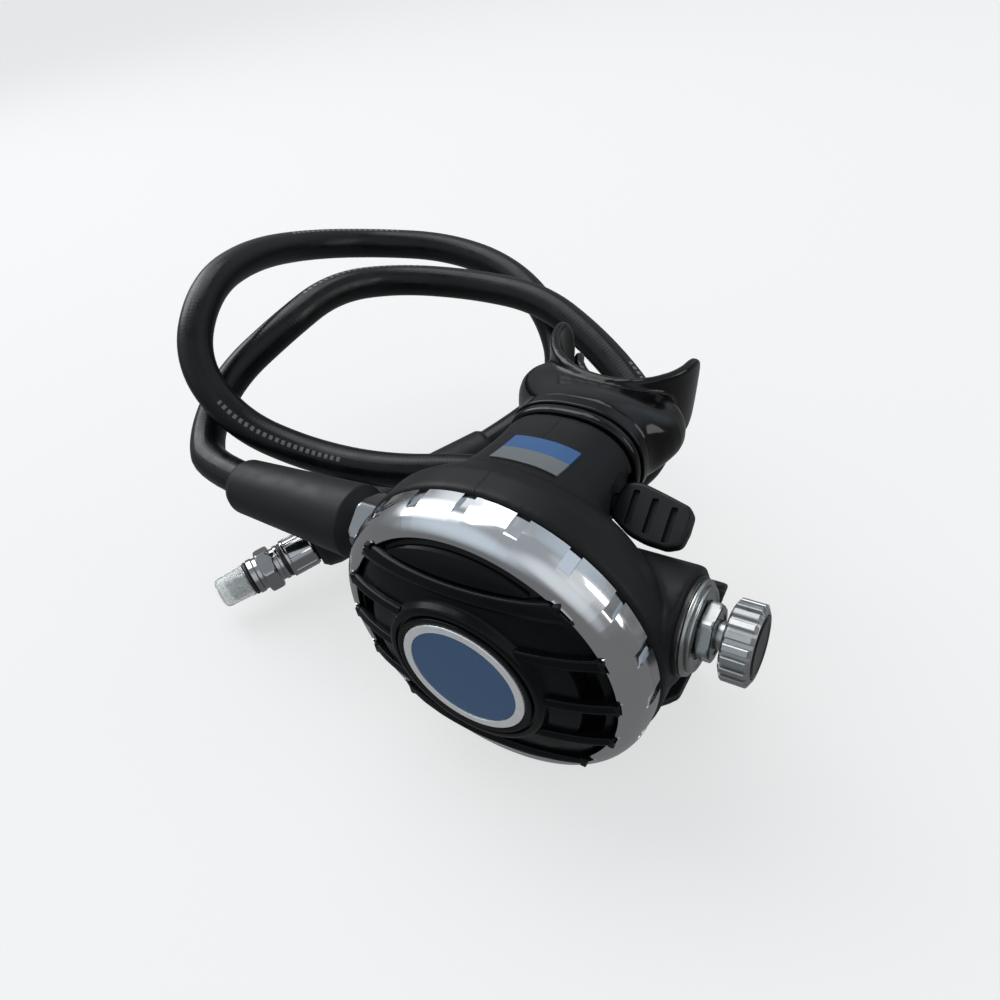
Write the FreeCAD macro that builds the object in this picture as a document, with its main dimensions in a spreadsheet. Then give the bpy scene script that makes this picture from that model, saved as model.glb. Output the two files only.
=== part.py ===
import FreeCAD, Part
import math
import os
import re

# Second stage of a scuba regulator with its low pressure hose, in millimetres, +Z up.
# The origin lies on the standing face under the exhaust tee. X runs along the valve barrel
# from the hose to the adjustment knob, and -Y is the side of the front cover.

doc = FreeCAD.newDocument("regulator")
sheet = doc.addObject("Spreadsheet::Sheet", "Sizes")

SIZES = [
    # Place of the cover's axis and of its front plane over the standing face
    ("axis_height", 46.0),
    ("face_front", 30.0),
    # Cover ring
    ("ring_radius", 42.0),
    ("ring_land", 2.8),
    ("ring_bore", 36.0),
    ("ring_rise", 8.0),
    ("ring_lip", 1.5),
    ("skirt_radius", 39.4),
    ("skirt_wall", 2.2),
    ("skirt_depth", 5.0),
    ("notch_count", 20),
    ("notch_width", 3.2),
    ("notch_depth", 1.2),
    # Purge cover and medallion
    ("cover_gap", 0.3),
    ("cover_wall", 2.0),
    ("cover_rim", 1.3),
    ("dome_rise", 12.0),
    ("boss_radius", 21.4),
    ("boss_rise", 14.6),
    ("boss_slope", 0.8),
    ("cover_travel", 2.5),
    ("rib_width", 3.0),
    ("rib_rise", 1.7),
    ("rib_pitch", 13.2),
    ("rib_shift", 0.6),
    ("rib_reach", 37.2),
    ("post_radius", 4.0),
    ("medal_radius", 16.7),
    ("medal_thick", 1.8),
    ("disc_radius", 14.4),
    ("disc_thick", 1.6),
    # Diaphragm
    ("plate_radius", 14.0),
    ("plate_thick", 1.4),
    ("membrane_thick", 0.8),
    ("bead_width", 2.0),
    # Case
    ("case_radius", 42.6),
    ("case_wall", 2.6),
    ("rim_depth", 11.0),
    ("case_depth", 28.0),
    ("housing_radius", 14.2),
    ("left_stand", 0.6),
    ("right_stand", 0.1),
    # Breathing tube
    ("tube_rise", 22.0),
    ("tube_half_width", 18.3),
    ("tube_half_height", 14.0),
    ("tube_root_width", 23.5),
    ("tube_root_height", 19.5),
    ("tube_root_depth", 12.0),
    ("tube_end_depth", 44.0),
    ("tube_wall", 3.8),
    ("spigot_length", 11.0),
    ("spigot_step", 1.6),
    ("label_width", 17.8),
    ("label_shift", 2.0),
    ("label_length", 12.0),
    ("label_gap", 12.0),
    ("label_thick", 0.4),
    # Valve barrel and what is in it
    ("barrel_rise", 2.5),
    ("barrel_depth", 19.0),
    ("barrel_radius", 8.0),
    ("barrel_bore", 5.6),
    ("barrel_fit", 0.04),
    ("inlet_radius", 7.1),
    ("inlet_length", 6.0),
    ("gasket_radius", 12.2),
    ("gasket_thick", 0.8),
    ("flange_radius", 11.4),
    ("flange_thick", 1.0),
    ("washer_radius", 10.6),
    ("washer_thick", 1.6),
    ("nut_flats", 13.0),
    ("nut_thick", 3.2),
    ("nut_skirt", 6.0),
    ("shaft_radius", 3.5),
    ("shaft_fit", 0.05),
    ("screw_radius", 5.0),
    ("screw_length", 1.6),
    ("stem_thread", 2.6),
    ("screw_pitch", 1.0),
    ("screw_turns", 2),
    ("knob_radius", 9.7),
    ("knob_length", 7.2),
    ("knob_stand", 2.4),
    ("flute_count", 16),
    ("flute_depth", 0.9),
    ("flute_width", 1.6),
    ("end_disc_radius", 7.4),
    ("end_disc_thick", 0.7),
    ("pad_thick", 3.0),
    ("orifice_length", 10.0),
    ("orifice_bore", 2.2),
    ("poppet_rod", 1.6),
    ("poppet_head", 5.2),
    ("seat_radius", 3.6),
    ("seat_thick", 2.0),
    ("collar_radius", 4.6),
    ("spring_radius", 4.9),
    ("spring_wire", 0.8),
    # Demand lever
    ("pivot_x", 15.0),
    ("pivot_depth", 15.4),
    ("pin_radius", 1.0),
    ("lever_thick", 1.2),
    ("lever_width", 5.0),
    ("hub_radius", 1.7),
    ("heel_length", 3.6),
    # Venturi lever
    ("venturi_y", 6.0),
    ("venturi_rise", 18.0),
    ("venturi_shaft", 2.6),
    ("paddle_start", 16.9),
    ("paddle_length", 20.0),
    ("paddle_width", 15.0),
    ("paddle_thick", 4.0),
    ("paddle_tilt", 33.0),
    ("vane_width", 9.0),
    ("vane_length", 17.0),
    # Exhaust
    ("port_drop", 24.0),
    ("port_radius", 11.0),
    ("port_bore", 8.6),
    ("valve_radius", 10.4),
    ("valve_thick", 0.8),
    ("tee_half_top", 43.5),
    ("tee_half_bottom", 37.0),
    ("tee_foot_half", 34.6),
    ("tee_toe", 14.0),
    ("tee_rise", -4.0),
    ("tee_back", 15.0),
    ("tee_wall", 2.4),
    ("tee_mitre_y", 2.4),
    ("tee_mitre", 48.5),
    # Mouthpiece
    ("mouth_gap", 0.4),
    ("mouth_neck", 22.0),
    ("mouth_wall", 2.4),
    ("mouth_flange_radius", 21.8),
    ("mouth_flange_wall", 2.6),
    ("mouth_flange_height", 25.4),
    ("mouth_shift", -1.0),
    ("mouth_flange_shift", -4.0),
    ("mouth_flange_reach", 6.5),
    ("mouth_flange_end", 9.0),
    ("mouth_roll", 8.0),
    ("mouth_bulge", 5.4),
    ("bite_length", 12.0),
    ("bite_height", 14.0),
    ("bite_thick", 3.2),
    ("tie_inset", 3.1),
    ("tie_width", 3.6),
    ("tie_thick", 1.1),
    # Hose and its fittings
    ("hose_radius", 5.75),
    ("hose_fit", 0.05),
    ("swivel_flats", 17.5),
    ("swivel_length", 9.7),
    ("swivel_gap", 1.2),
    ("stem_radius", 4.0),
    ("ferrule_radius", 6.9),
    ("ferrule_length", 13.0),
    ("guard_length", 52.2),
    ("guard_big", 11.2),
    ("guard_small", 8.9),
    ("guard_chamfer", 3.2),
    ("guard_gap", 0.5),
    ("long_guard_length", 73.0),
    ("long_guard_big", 10.2),
    ("long_guard_small", 8.6),
    ("supply_ferrule", 10.0),
    ("band_thick", 1.0),
    ("fitting_collar", 6.3),
    ("fitting_flats", 14.3),
    ("fitting_hex", 5.0),
    ("fitting_rear", 3.2),
    ("fitting_front", 3.4),
    ("thread_radius", 4.76),
    ("thread_length", 9.0),
    ("ring_wire", 0.9),
    ("cap_radius", 5.9),
    ("cap_wall", 1.0),
    ("cap_length", 10.4),
]

for row, (name, value) in enumerate(SIZES, start=1):
    sheet.set("A%d" % row, name)
    sheet.set("B%d" % row, str(value))
    sheet.setAlias("B%d" % row, name)
doc.recompute()

WORDS = set(name for name, value in SIZES)
NODES = []


def bind(text):
    """Expression in which each size's name points to its cell."""
    return re.sub(r"[a-z_]+", lambda m: "Sizes." + m.group(0) if m.group(0) in WORDS else m.group(0),
                  str(text))


def val(text):
    """Present value of an expression of named sizes."""
    return float(sheet.evalExpression(bind(text)))


def node(item, label, turn=None, place=("0", "0", "0")):
    """Name a sub-part, turn it and bind its place to the sheet."""
    item.Label = label
    item.Placement = FreeCAD.Placement(FreeCAD.Vector(0, 0, 0), turn or FreeCAD.Rotation())
    for axis, text in zip("xyz", place):
        item.setExpression("Placement.Base." + axis, bind(text))
    NODES.append(item)
    return item


def sketch_on(body, name, role="XZ_Plane", lift=None):
    sketch = body.newObject("Sketcher::SketchObject", name)
    plane = [item for item in body.Origin.OriginFeatures if item.Role == role][0]
    sketch.AttachmentSupport = [(plane, "")]
    sketch.MapMode = "FlatFace"
    if lift is not None:
        sketch.setExpression("AttachmentOffset.Base.z", bind(lift))
    return sketch


def outline(sketch, corners):
    """Closed outline of straight lines whose corners are expressions of named sizes."""
    import Sketcher
    points = [FreeCAD.Vector(val(x), val(y), 0) for x, y in corners]
    count = len(points)
    for i in range(count):
        sketch.addGeometry(Part.LineSegment(points[i], points[(i + 1) % count]), False)
    for i in range(count):
        sketch.addConstraint(Sketcher.Constraint("Coincident", i, 2, (i + 1) % count, 1))
    for i, (x, y) in enumerate(corners):
        for kind, text, size, axis in (("DistanceX", x, points[i].x, -2),
                                       ("DistanceY", y, points[i].y, -1)):
            if abs(size) < 1e-9:
                sketch.addConstraint(Sketcher.Constraint("PointOnObject", i, 1, axis))
                continue
            number = sketch.addConstraint(Sketcher.Constraint(kind, -1, 1, i, 1, size))
            sketch.setExpression("Constraints[%d]" % number, bind(text))
    return sketch


def circle(sketch, radius, x="0", y="0"):
    import Sketcher
    centre = FreeCAD.Vector(val(x), val(y), 0)
    i = sketch.addGeometry(Part.Circle(centre, FreeCAD.Vector(0, 0, 1), val(radius)), False)
    number = sketch.addConstraint(Sketcher.Constraint("Radius", i, val(radius)))
    sketch.setExpression("Constraints[%d]" % number, bind(radius))
    for kind, text, size, axis in (("DistanceX", x, centre.x, -2), ("DistanceY", y, centre.y, -1)):
        if abs(size) < 1e-9:
            sketch.addConstraint(Sketcher.Constraint("PointOnObject", i, 3, axis))
            continue
        number = sketch.addConstraint(Sketcher.Constraint(kind, -1, 1, i, 3, size))
        sketch.setExpression("Constraints[%d]" % number, bind(text))
    return i


def hexagon(sketch, flats):
    """Hexagon across the given flats, round the sketch's origin."""
    reach = "(" + flats + ") / 2"
    side = reach + " * 0.5773502691896258"
    corner = reach + " * 1.1547005383792517"
    return outline(sketch, [(corner, "0"), (side, reach), ("-1 * " + side, reach), ("-1 * " + corner, "0"),
                            ("-1 * " + side, "-1 * " + reach), (side, "-1 * " + reach)])


def turned(name, corners):
    """Body turned about its own Z axis from corners given as (radius, height)."""
    body = doc.addObject("PartDesign::Body", name)
    sketch = outline(sketch_on(body, name + "_profile"), corners)
    feature = body.newObject("PartDesign::Revolution", name + "_turned")
    feature.Profile = sketch
    feature.ReferenceAxis = (sketch, ["V_Axis"])
    feature.Angle = 360.0
    body.Tip = feature
    return body


def pad(body, name, sketch, length):
    feature = body.newObject("PartDesign::Pad", name)
    feature.Profile = sketch
    feature.setExpression("Length", bind(length))
    body.Tip = feature
    return feature


def pocket(body, name, sketch, length, up=True):
    """Cut from the sketch's plane, upwards along the body's Z axis or downwards."""
    feature = body.newObject("PartDesign::Pocket", name)
    feature.Profile = sketch
    feature.Reversed = up
    feature.setExpression("Length", bind(length))
    body.Tip = feature
    return feature


def spread(body, name, feature, count):
    pattern = body.newObject("PartDesign::PolarPattern", name)
    pattern.Originals = [feature]
    axis = [item for item in body.Origin.OriginFeatures if item.Role == "Z_Axis"][0]
    pattern.Axis = (axis, [""])
    pattern.Angle = 360.0
    pattern.setExpression("Occurrences", bind(count))
    body.Tip = pattern
    return pattern


def shaped(name, shape):
    item = doc.addObject("Part::Feature", name)
    item.Shape = shape
    return item


def solid_of(shape):
    """Single clean solid of a boolean's result."""
    whole = max(shape.Solids, key=lambda part: part.Volume)
    joined = whole.copy().removeSplitter()
    if joined.Solids and joined.Solids[0].isValid():
        whole = joined.Solids[0]
    return whole


V = FreeCAD.Vector
FORWARD = FreeCAD.Rotation(V(1, 0, 0), 90)
ALONG = FreeCAD.Rotation(V(0, 1, 0), 90)
LEFTWARD = FreeCAD.Rotation(V(0, 1, 0), -90)
COVER = ("0", "-1 * face_front", "axis_height")
BARREL = ("0", "barrel_depth - face_front", "axis_height + barrel_rise")


# Cover ring: castellated outer lands, a convex face, a bright inner lip and a skirt in the case
ring = turned("cover_ring_blank", [
    ("ring_bore", "ring_rise - 0.8"), ("ring_bore + ring_lip", "ring_rise"),
    ("ring_bore + (ring_radius - ring_bore) * 0.53", "ring_rise * 0.925"),
    ("ring_bore + (ring_radius - ring_bore) * 0.77", "ring_rise * 0.74"),
    ("ring_radius - 0.4", "ring_rise * 0.43"), ("ring_radius", "ring_rise * 0.11"),
    ("ring_radius", "-1 * ring_land"), ("skirt_radius", "-1 * ring_land"),
    ("skirt_radius", "-1 * skirt_depth"), ("skirt_radius - skirt_wall", "-1 * skirt_depth"),
    ("skirt_radius - skirt_wall", "0"), ("ring_bore", "0")])
doc.recompute()
land = sketch_on(ring, "notch_outline", "XY_Plane", "-1 * ring_land")
outline(land, [("ring_radius - notch_depth", "-1 * notch_width / 2"),
               ("ring_radius + 1", "-1 * notch_width / 2"),
               ("ring_radius + 1", "notch_width / 2"), ("ring_radius - notch_depth", "notch_width / 2")])
notch = pocket(ring, "notch", land, "ring_land + ring_rise * 0.28", True)
doc.recompute()
spread(ring, "notches", notch, "notch_count")
doc.recompute()
HEAD_LOW = "ring_rise - 1.6"
RIB_STEPS = (-2, -1, 0, 1, 2)
slotted = ring.Shape.copy()
slot_floor = val(HEAD_LOW) - val("cover_travel") - 0.5
slot_zone = Part.makeCylinder(val("rib_reach") + 0.3, 40, V(0, 0, slot_floor))
for step in RIB_STEPS:
    wide = val("rib_width") + 0.8
    bar = Part.makeBox(90, wide, 40, V(-45, step * val("rib_pitch") + val("rib_shift") - wide / 2,
                                       slot_floor - 1))
    slotted = slotted.cut(slot_zone.common(bar))
node(shaped("cover_ring_slotted", solid_of(slotted)), "cover_ring", FORWARD, COVER)

# Purge cover: a domed shell with a stepped boss, cross ribs and a post towards the diaphragm
RIM = "(ring_bore - cover_gap)"
dome_points = [
    (RIM, "-1 * cover_rim + ring_rise"), (RIM + " - 6", "dome_rise * 0.84"),
    ("boss_radius + 1.4", "dome_rise - 0.4"), ("boss_radius + 0.6", "dome_rise"),
    ("boss_radius", "boss_rise - boss_slope"), ("boss_radius - boss_slope", "boss_rise")]
shell = [(x, y) for x, y in dome_points]
shell += [("medal_radius + 0.15", "boss_rise"), ("medal_radius + 0.15", "boss_rise - medal_thick + 0.4"),
          ("0", "boss_rise - medal_thick + 0.4"), ("0", "-1 * skirt_depth + cover_gap"),
          ("post_radius", "-1 * skirt_depth + cover_gap"), ("post_radius",
                                                            "boss_rise - medal_thick - cover_wall"),
          ("boss_radius - cover_wall - 0.4", "boss_rise - medal_thick - cover_wall"),
          ("boss_radius - cover_wall", "dome_rise - cover_wall"),
          (RIM + " - 7", "dome_rise * 0.84 - cover_wall"),
          (RIM + " - cover_wall", "-1 * cover_rim + ring_rise - 0.6"),
          (RIM + " - cover_wall", "-1.5"), (RIM, "-1.5")]


def turned_shape(corners):
    """Solid turned about Z from corners given as (radius, height) expressions."""
    points = [V(val(x), 0, val(y)) for x, y in corners]
    face = Part.Face(Part.makePolygon(points + [points[0]]))
    return face.revolve(V(0, 0, 0), V(0, 0, 1), 360)


cover = turned_shape(shell)
raised = [("0", "0"), (RIM, "0"), (RIM, HEAD_LOW), ("rib_reach", HEAD_LOW),
          ("rib_reach", "ring_rise + 0.7"),
          ("rib_reach - 0.8", "ring_rise + 1.3"), (RIM + " - 6", "dome_rise * 0.84 + rib_rise"),
          ("boss_radius", "dome_rise + rib_rise"), ("0", "dome_rise + rib_rise")]
lower = [("0", "-1"), (RIM + " - 1", "-1"), (RIM + " - 1", "-1 * cover_rim + ring_rise - 0.6"),
         (RIM + " - 6.4", "dome_rise * 0.84 - 0.6"), ("boss_radius - 0.6", "dome_rise - 0.8"),
         ("boss_radius - 0.6", "dome_rise + rib_rise + 4"), ("0", "dome_rise + rib_rise + 4")]
rib_zone = turned_shape(raised).cut(turned_shape(lower))
for step in RIB_STEPS:
    height = step * val("rib_pitch") + val("rib_shift")
    width = val("rib_width")
    bar = Part.makeBox(90, width, 40, V(-45, height - width / 2, -2))
    cover = cover.fuse(rib_zone.common(bar))
node(shaped("purge_cover", solid_of(cover)), "purge_cover", FORWARD, COVER)

SEAT = "boss_rise - medal_thick + 0.4"
node(turned("medallion_rim", [
    ("disc_radius + 0.1", SEAT), ("medal_radius", SEAT), ("medal_radius", SEAT + " + medal_thick - 0.4"),
    ("medal_radius - 0.5", SEAT + " + medal_thick"), ("disc_radius + 0.1", SEAT + " + medal_thick")]),
    "medallion_rim", FORWARD, COVER)
node(turned("medallion_disc", [
    ("0", SEAT), ("disc_radius", SEAT), ("disc_radius", SEAT + " + disc_thick"),
    ("0", SEAT + " + disc_thick")]),
    "medallion_disc", FORWARD, COVER)

# Diaphragm: a clamped membrane round a plate that the cover's post pushes
CLAMP = "-1 * skirt_depth"
node(turned("diaphragm_membrane", [
    ("plate_radius + 0.4", CLAMP + " - 0.2"), ("skirt_radius - skirt_wall - 1.4", CLAMP + " - 0.2"),
    ("skirt_radius - skirt_wall", CLAMP), ("skirt_radius - 0.1", CLAMP),
    ("skirt_radius - 0.1", CLAMP + " - 1.0"),
    ("plate_radius + 0.4", CLAMP + " - 0.2 - membrane_thick")]), "diaphragm_membrane", FORWARD, COVER)
node(turned("diaphragm_plate", [
    ("0", CLAMP + " - 0.05"), ("plate_radius", CLAMP + " - 0.05"),
    ("plate_radius", CLAMP + " - 0.05 - plate_thick"), ("0", CLAMP + " - 0.05 - plate_thick")]),
    "diaphragm_plate", FORWARD, COVER)


# Case: a rimmed bowl, the barrel housing across it, the breathing tube and the exhaust port
def oval(y, half_width, half_height, centre, x=0.0):
    """Oval wire in a plane across Y."""
    major, minor = half_width, half_height
    curve = Part.Ellipse(V(x, y, centre), major, minor)
    points = []
    for i in range(24):
        a = 2 * math.pi * i / 24
        c, s = math.cos(a), math.sin(a)
        points.append(V(x + major * math.copysign(abs(c) ** 0.86, c), y,
                        centre + minor * math.copysign(abs(s) ** 0.86, s)))
    curve = Part.BSplineCurve()
    curve.interpolate(points, PeriodicFlag=True)
    return Part.Wire([curve.toShape()])


FACE = -val("face_front")
AXIS = val("axis_height")
TUBE_Z = AXIS + val("tube_rise")
TUBE_END = FACE + val("tube_end_depth")
ROOT = FACE + val("tube_root_depth")


def tube_solid(grow, start, end):
    """Breathing tube's outside, grown or shrunk evenly, between two planes across Y."""
    places = ((0.0, "tube_root_width", "tube_root_height", -0.8),
              (0.45, "tube_half_width + 1.4", "tube_half_height + 1.6", -0.2),
              (1.0, "tube_half_width", "tube_half_height", 0.0))
    wires = []
    for share, wide, high, drop in places:
        y = ROOT + share * (TUBE_END - ROOT)
        wires.append(oval(y, val(wide) + grow, val(high) + grow, TUBE_Z + drop))
    body = Part.makeLoft(wires, True, False)
    if end > TUBE_END:
        wire = oval(TUBE_END, val("tube_half_width") + grow, val("tube_half_height") + grow, TUBE_Z)
        body = body.fuse(Part.Face(wire).extrude(V(0, end - TUBE_END, 0)))
    box = Part.makeBox(200, end - start, 200, V(-100, start, 0))
    return body.common(box)


def bowl(corners):
    shape = turned_shape(corners)
    shape.Placement = FreeCAD.Placement(V(0, FACE, AXIS), FORWARD)
    return shape


def rod(radius, start, end, y, z):
    """Round bar along X."""
    return Part.makeCylinder(radius, end - start, V(start, y, z), V(1, 0, 0))


LEDGE = "-1 * skirt_depth - 1.0"
outer = bowl([("0", "-1 * ring_land"), ("case_radius - 0.8", "-1 * ring_land"),
              ("case_radius", "-1 * ring_land - 0.8"),
              ("case_radius", "-1 * rim_depth"), ("case_radius - 2.4", "-1 * rim_depth - 5"),
              ("case_radius - 8", "-1 * rim_depth - 11.5"), ("case_radius - 15.5", "-1 * case_depth + 1.2"),
              ("case_radius - 22", "-1 * case_depth"), ("0", "-1 * case_depth")])
inner = bowl([("0", "1"), ("skirt_radius + 0.05", "1"), ("skirt_radius + 0.05", LEDGE),
              ("case_radius - case_wall - 2.6", LEDGE), ("case_radius - case_wall - 2.6",
                                                         "-1 * rim_depth - 0.6"),
              ("case_radius - case_wall - 4", "-1 * rim_depth - 4"),
              ("case_radius - case_wall - 9.5", "-1 * rim_depth - 10"),
              ("case_radius - case_wall - 17", "-1 * case_depth + case_wall + 1"),
              ("case_radius - case_wall - 22", "-1 * case_depth + case_wall"),
              ("0", "-1 * case_depth + case_wall")])
BARREL_Y = FACE + val("barrel_depth")
BARREL_Z = AXIS + val("barrel_rise")
LEFT = -val("case_radius + left_stand")
RIGHT = val("case_radius + right_stand")
housing = rod(val("housing_radius"), LEFT, RIGHT, BARREL_Y, BARREL_Z)
PORT_Z = AXIS - val("port_drop")
PORT_BACK = FACE + val("case_depth") + 3.0
port = Part.makeCylinder(val("port_radius"), PORT_BACK - FACE - 18, V(0, FACE + 18, PORT_Z), V(0, 1, 0))
SPIGOT_END = TUBE_END + val("spigot_length")
case = outer.fuse([housing, tube_solid(0.0, ROOT, TUBE_END), port])
front_room = Part.makeBox(200, 60, 200, V(-100, FACE - val("ring_land") - 60 + 2 * val("ring_land"), -50))
case = case.cut(front_room)
case = case.fuse(tube_solid(-val("spigot_step"), TUBE_END - 4, SPIGOT_END))
case = case.cut(inner)
case = case.cut(tube_solid(-val("tube_wall"), ROOT + 1, SPIGOT_END + 1))
case = case.cut(Part.makeCylinder(val("port_bore"), 30, V(0, PORT_BACK - 20, PORT_Z), V(0, 1, 0)))
case = case.cut(rod(val("barrel_radius") + val("barrel_fit"), LEFT - 1, RIGHT + 1, BARREL_Y, BARREL_Z))
VENT_Y = val("venturi_y")
VENT_Z = AXIS + val("venturi_rise")
PADDLE_X = val("paddle_start")
SWEEP = math.hypot(val("paddle_width"), val("paddle_thick")) / 2 + 0.9
case = case.cut(rod(SWEEP, PADDLE_X - 0.4, 60, VENT_Y, VENT_Z))
case = case.cut(rod(val("venturi_shaft") + val("shaft_fit"), 0, 60, VENT_Y, VENT_Z))
node(shaped("case_body", solid_of(case)), "case_body")

LABEL_END = TUBE_END - val("label_gap")
patch = tube_solid(val("label_thick"), ROOT, TUBE_END).cut(tube_solid(0.0, ROOT - 1, TUBE_END + 1))
patch = patch.common(Part.makeBox(val("label_width"), val("label_length"), 60,
                                  V(val("label_shift") - val("label_width") / 2,
                                    LABEL_END - val("label_length"), TUBE_Z)))
patch = patch.cut(case)
node(shaped("label_plate", solid_of(patch)), "label_plate")

# Valve barrel: a tube across the case with a window for the lever, an inlet spigot and an end flange
FLANGE = "(case_radius + right_stand) + gasket_thick"
barrel = turned("valve_barrel", [
    ("barrel_bore", "-1 * (case_radius + left_stand) - 0.6"),
    ("barrel_bore - 1.4", "-1 * (case_radius + left_stand) - 0.6"),
    ("barrel_bore - 1.4", "-1 * (case_radius + left_stand) - inlet_length"),
    ("inlet_radius", "-1 * (case_radius + left_stand) - inlet_length"),
    ("inlet_radius", "-1 * (case_radius + left_stand)"), ("barrel_radius",
                                                          "-1 * (case_radius + left_stand)"),
                                                          ("barrel_radius", FLANGE),
    ("flange_radius", FLANGE), ("flange_radius", FLANGE + " + flange_thick"),
    ("barrel_bore", FLANGE + " + flange_thick")])
doc.recompute()
window = sketch_on(barrel, "window_outline", "XZ_Plane")
outline(window, [("-1 * lever_width / 2 - 1.6", "0.5"), ("lever_width / 2 + 1.6", "0.5"),
                 ("lever_width / 2 + 1.6", "pivot_x + 4"), ("-1 * lever_width / 2 - 1.6", "pivot_x + 4")])
cut = barrel.newObject("PartDesign::Pocket", "window")
cut.Profile = window
cut.setExpression("Length", bind("barrel_radius + 1"))
cut.Reversed = True
barrel.Tip = cut
doc.recompute()
pin_hole = sketch_on(barrel, "pin_hole_outline", "YZ_Plane")
circle(pin_hole, "pin_radius + 0.02", "pivot_depth - barrel_depth", "pivot_x")
drill = barrel.newObject("PartDesign::Pocket", "pin_hole")
drill.Profile = pin_hole
drill.Type = 1
drill.Midplane = True
barrel.Tip = drill
node(barrel, "valve_barrel", ALONG, BARREL)

node(turned("barrel_gasket", [
    ("barrel_radius + 0.05", "(case_radius + right_stand)"),
    ("gasket_radius", "(case_radius + right_stand)"),
    ("gasket_radius", "(case_radius + right_stand) + gasket_thick"),
    ("barrel_radius + 0.05", "(case_radius + right_stand) + gasket_thick")]),
    "barrel_gasket", ALONG, BARREL)
WASHER = FLANGE + " + flange_thick"
node(turned("flange_washer", [
    ("barrel_bore", WASHER), ("washer_radius - 0.9", WASHER), ("washer_radius", WASHER + " + 0.4"),
    ("washer_radius", WASHER + " + washer_thick - 0.4"), ("washer_radius - 0.5",
                                                          WASHER + " + washer_thick"),
    ("barrel_bore", WASHER + " + washer_thick")]), "flange_washer", ALONG, BARREL)
NUT = WASHER + " + washer_thick"
packing = doc.addObject("PartDesign::Body", "packing_nut")
hex_outline = sketch_on(packing, "nut_outline", "XY_Plane", NUT)
hexagon(hex_outline, "nut_flats")
pad(packing, "nut_head", hex_outline, "nut_thick")
doc.recompute()
skirt = sketch_on(packing, "nut_skirt_outline", "XY_Plane", NUT)
circle(skirt, "barrel_bore - barrel_fit")
skirt_pad = pad(packing, "nut_skirt_pad", skirt, "nut_skirt")
skirt_pad.Reversed = True
doc.recompute()
nut_bore = sketch_on(packing, "nut_bore_outline", "XY_Plane", NUT + " - nut_skirt - 1")
circle(nut_bore, "shaft_radius + shaft_fit")
pocket(packing, "nut_bore", nut_bore, "nut_skirt + nut_thick + 2")
node(packing, "packing_nut", ALONG, BARREL)

# Adjustment shaft with its screw, the fluted knob and the pad that it pushes
HEAD = NUT + " + nut_thick"
KNOB = HEAD + " + knob_stand"
SCREW_END = NUT + " - nut_skirt - 0.4"
PAD_END = SCREW_END + " - screw_length - 0.3"
STEM_END = PAD_END + " - pad_thick - screw_pitch * screw_turns - 0.7"
node(turned("adjustment_shaft", [
    ("0", STEM_END), ("stem_thread - 0.4", STEM_END), ("stem_thread", STEM_END + " + 0.4"),
    ("stem_thread", SCREW_END + " - screw_length"), ("screw_radius", SCREW_END + " - screw_length"),
    ("screw_radius", SCREW_END),
    ("shaft_radius", SCREW_END), ("shaft_radius", KNOB + " + knob_length - 1.6"),
    ("0", KNOB + " + knob_length - 1.6")]),
    "adjustment_shaft", ALONG, BARREL)
knob = turned("adjustment_knob", [
    ("shaft_radius + 0.02", KNOB), ("knob_radius - 1.2", KNOB), ("knob_radius", KNOB + " + 1.0"),
    ("knob_radius", KNOB + " + knob_length - 1.0"), ("knob_radius - 1.0", KNOB + " + knob_length"),
    ("end_disc_radius + 0.1", KNOB + " + knob_length"), ("end_disc_radius + 0.1",
                                                         KNOB + " + knob_length - 0.8"),
    ("shaft_radius + 0.02", KNOB + " + knob_length - 0.8")])
doc.recompute()
flute_outline = sketch_on(knob, "flute_outline", "XY_Plane", KNOB + " - 1")
outline(flute_outline, [("knob_radius - flute_depth", "-1 * flute_width / 2"),
                        ("knob_radius + 2", "-1 * flute_width / 2"),
                        ("knob_radius + 2", "flute_width / 2"),
                        ("knob_radius - flute_depth", "flute_width / 2")])
flute = pocket(knob, "flute", flute_outline, "knob_length + 2")
doc.recompute()
spread(knob, "flutes", flute, "flute_count")
node(knob, "adjustment_knob", ALONG, BARREL)
node(turned("knob_end_disc", [
    ("0", KNOB + " + knob_length - 0.8"), ("end_disc_radius", KNOB + " + knob_length - 0.8"),
    ("end_disc_radius", KNOB + " + knob_length - 0.8 + end_disc_thick"),
    ("end_disc_radius - 0.8", KNOB + " + knob_length - 0.4 + end_disc_thick"),
    ("0", KNOB + " + knob_length - 0.4 + end_disc_thick")]), "knob_end_disc", ALONG, BARREL)
node(turned("spring_pad", [
    ("stem_thread + shaft_fit", PAD_END + " - pad_thick"), ("barrel_bore - shaft_fit",
                                                            PAD_END + " - pad_thick"),
    ("barrel_bore - shaft_fit", PAD_END), ("stem_thread + shaft_fit", PAD_END)]), "spring_pad", ALONG,
    BARREL)
node(turned("shaft_o_ring", [
    ("shaft_radius + 0.1", SCREW_END + " - 0.3 + 0.45"), ("shaft_radius + 0.5",
                                                          SCREW_END + " - 0.3 + 0.05 + 0.3"),
    ("barrel_bore - 0.6", SCREW_END + " + 0.05"), ("barrel_bore - 0.1", SCREW_END + " + 0.15"),
    ("barrel_bore - 0.1", SCREW_END + " + 0.3"), ("barrel_bore - 0.6", SCREW_END + " + 0.38"),
    ("shaft_radius + 0.1", SCREW_END + " + 0.38")]), "shaft_o_ring", ALONG, BARREL)

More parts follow.
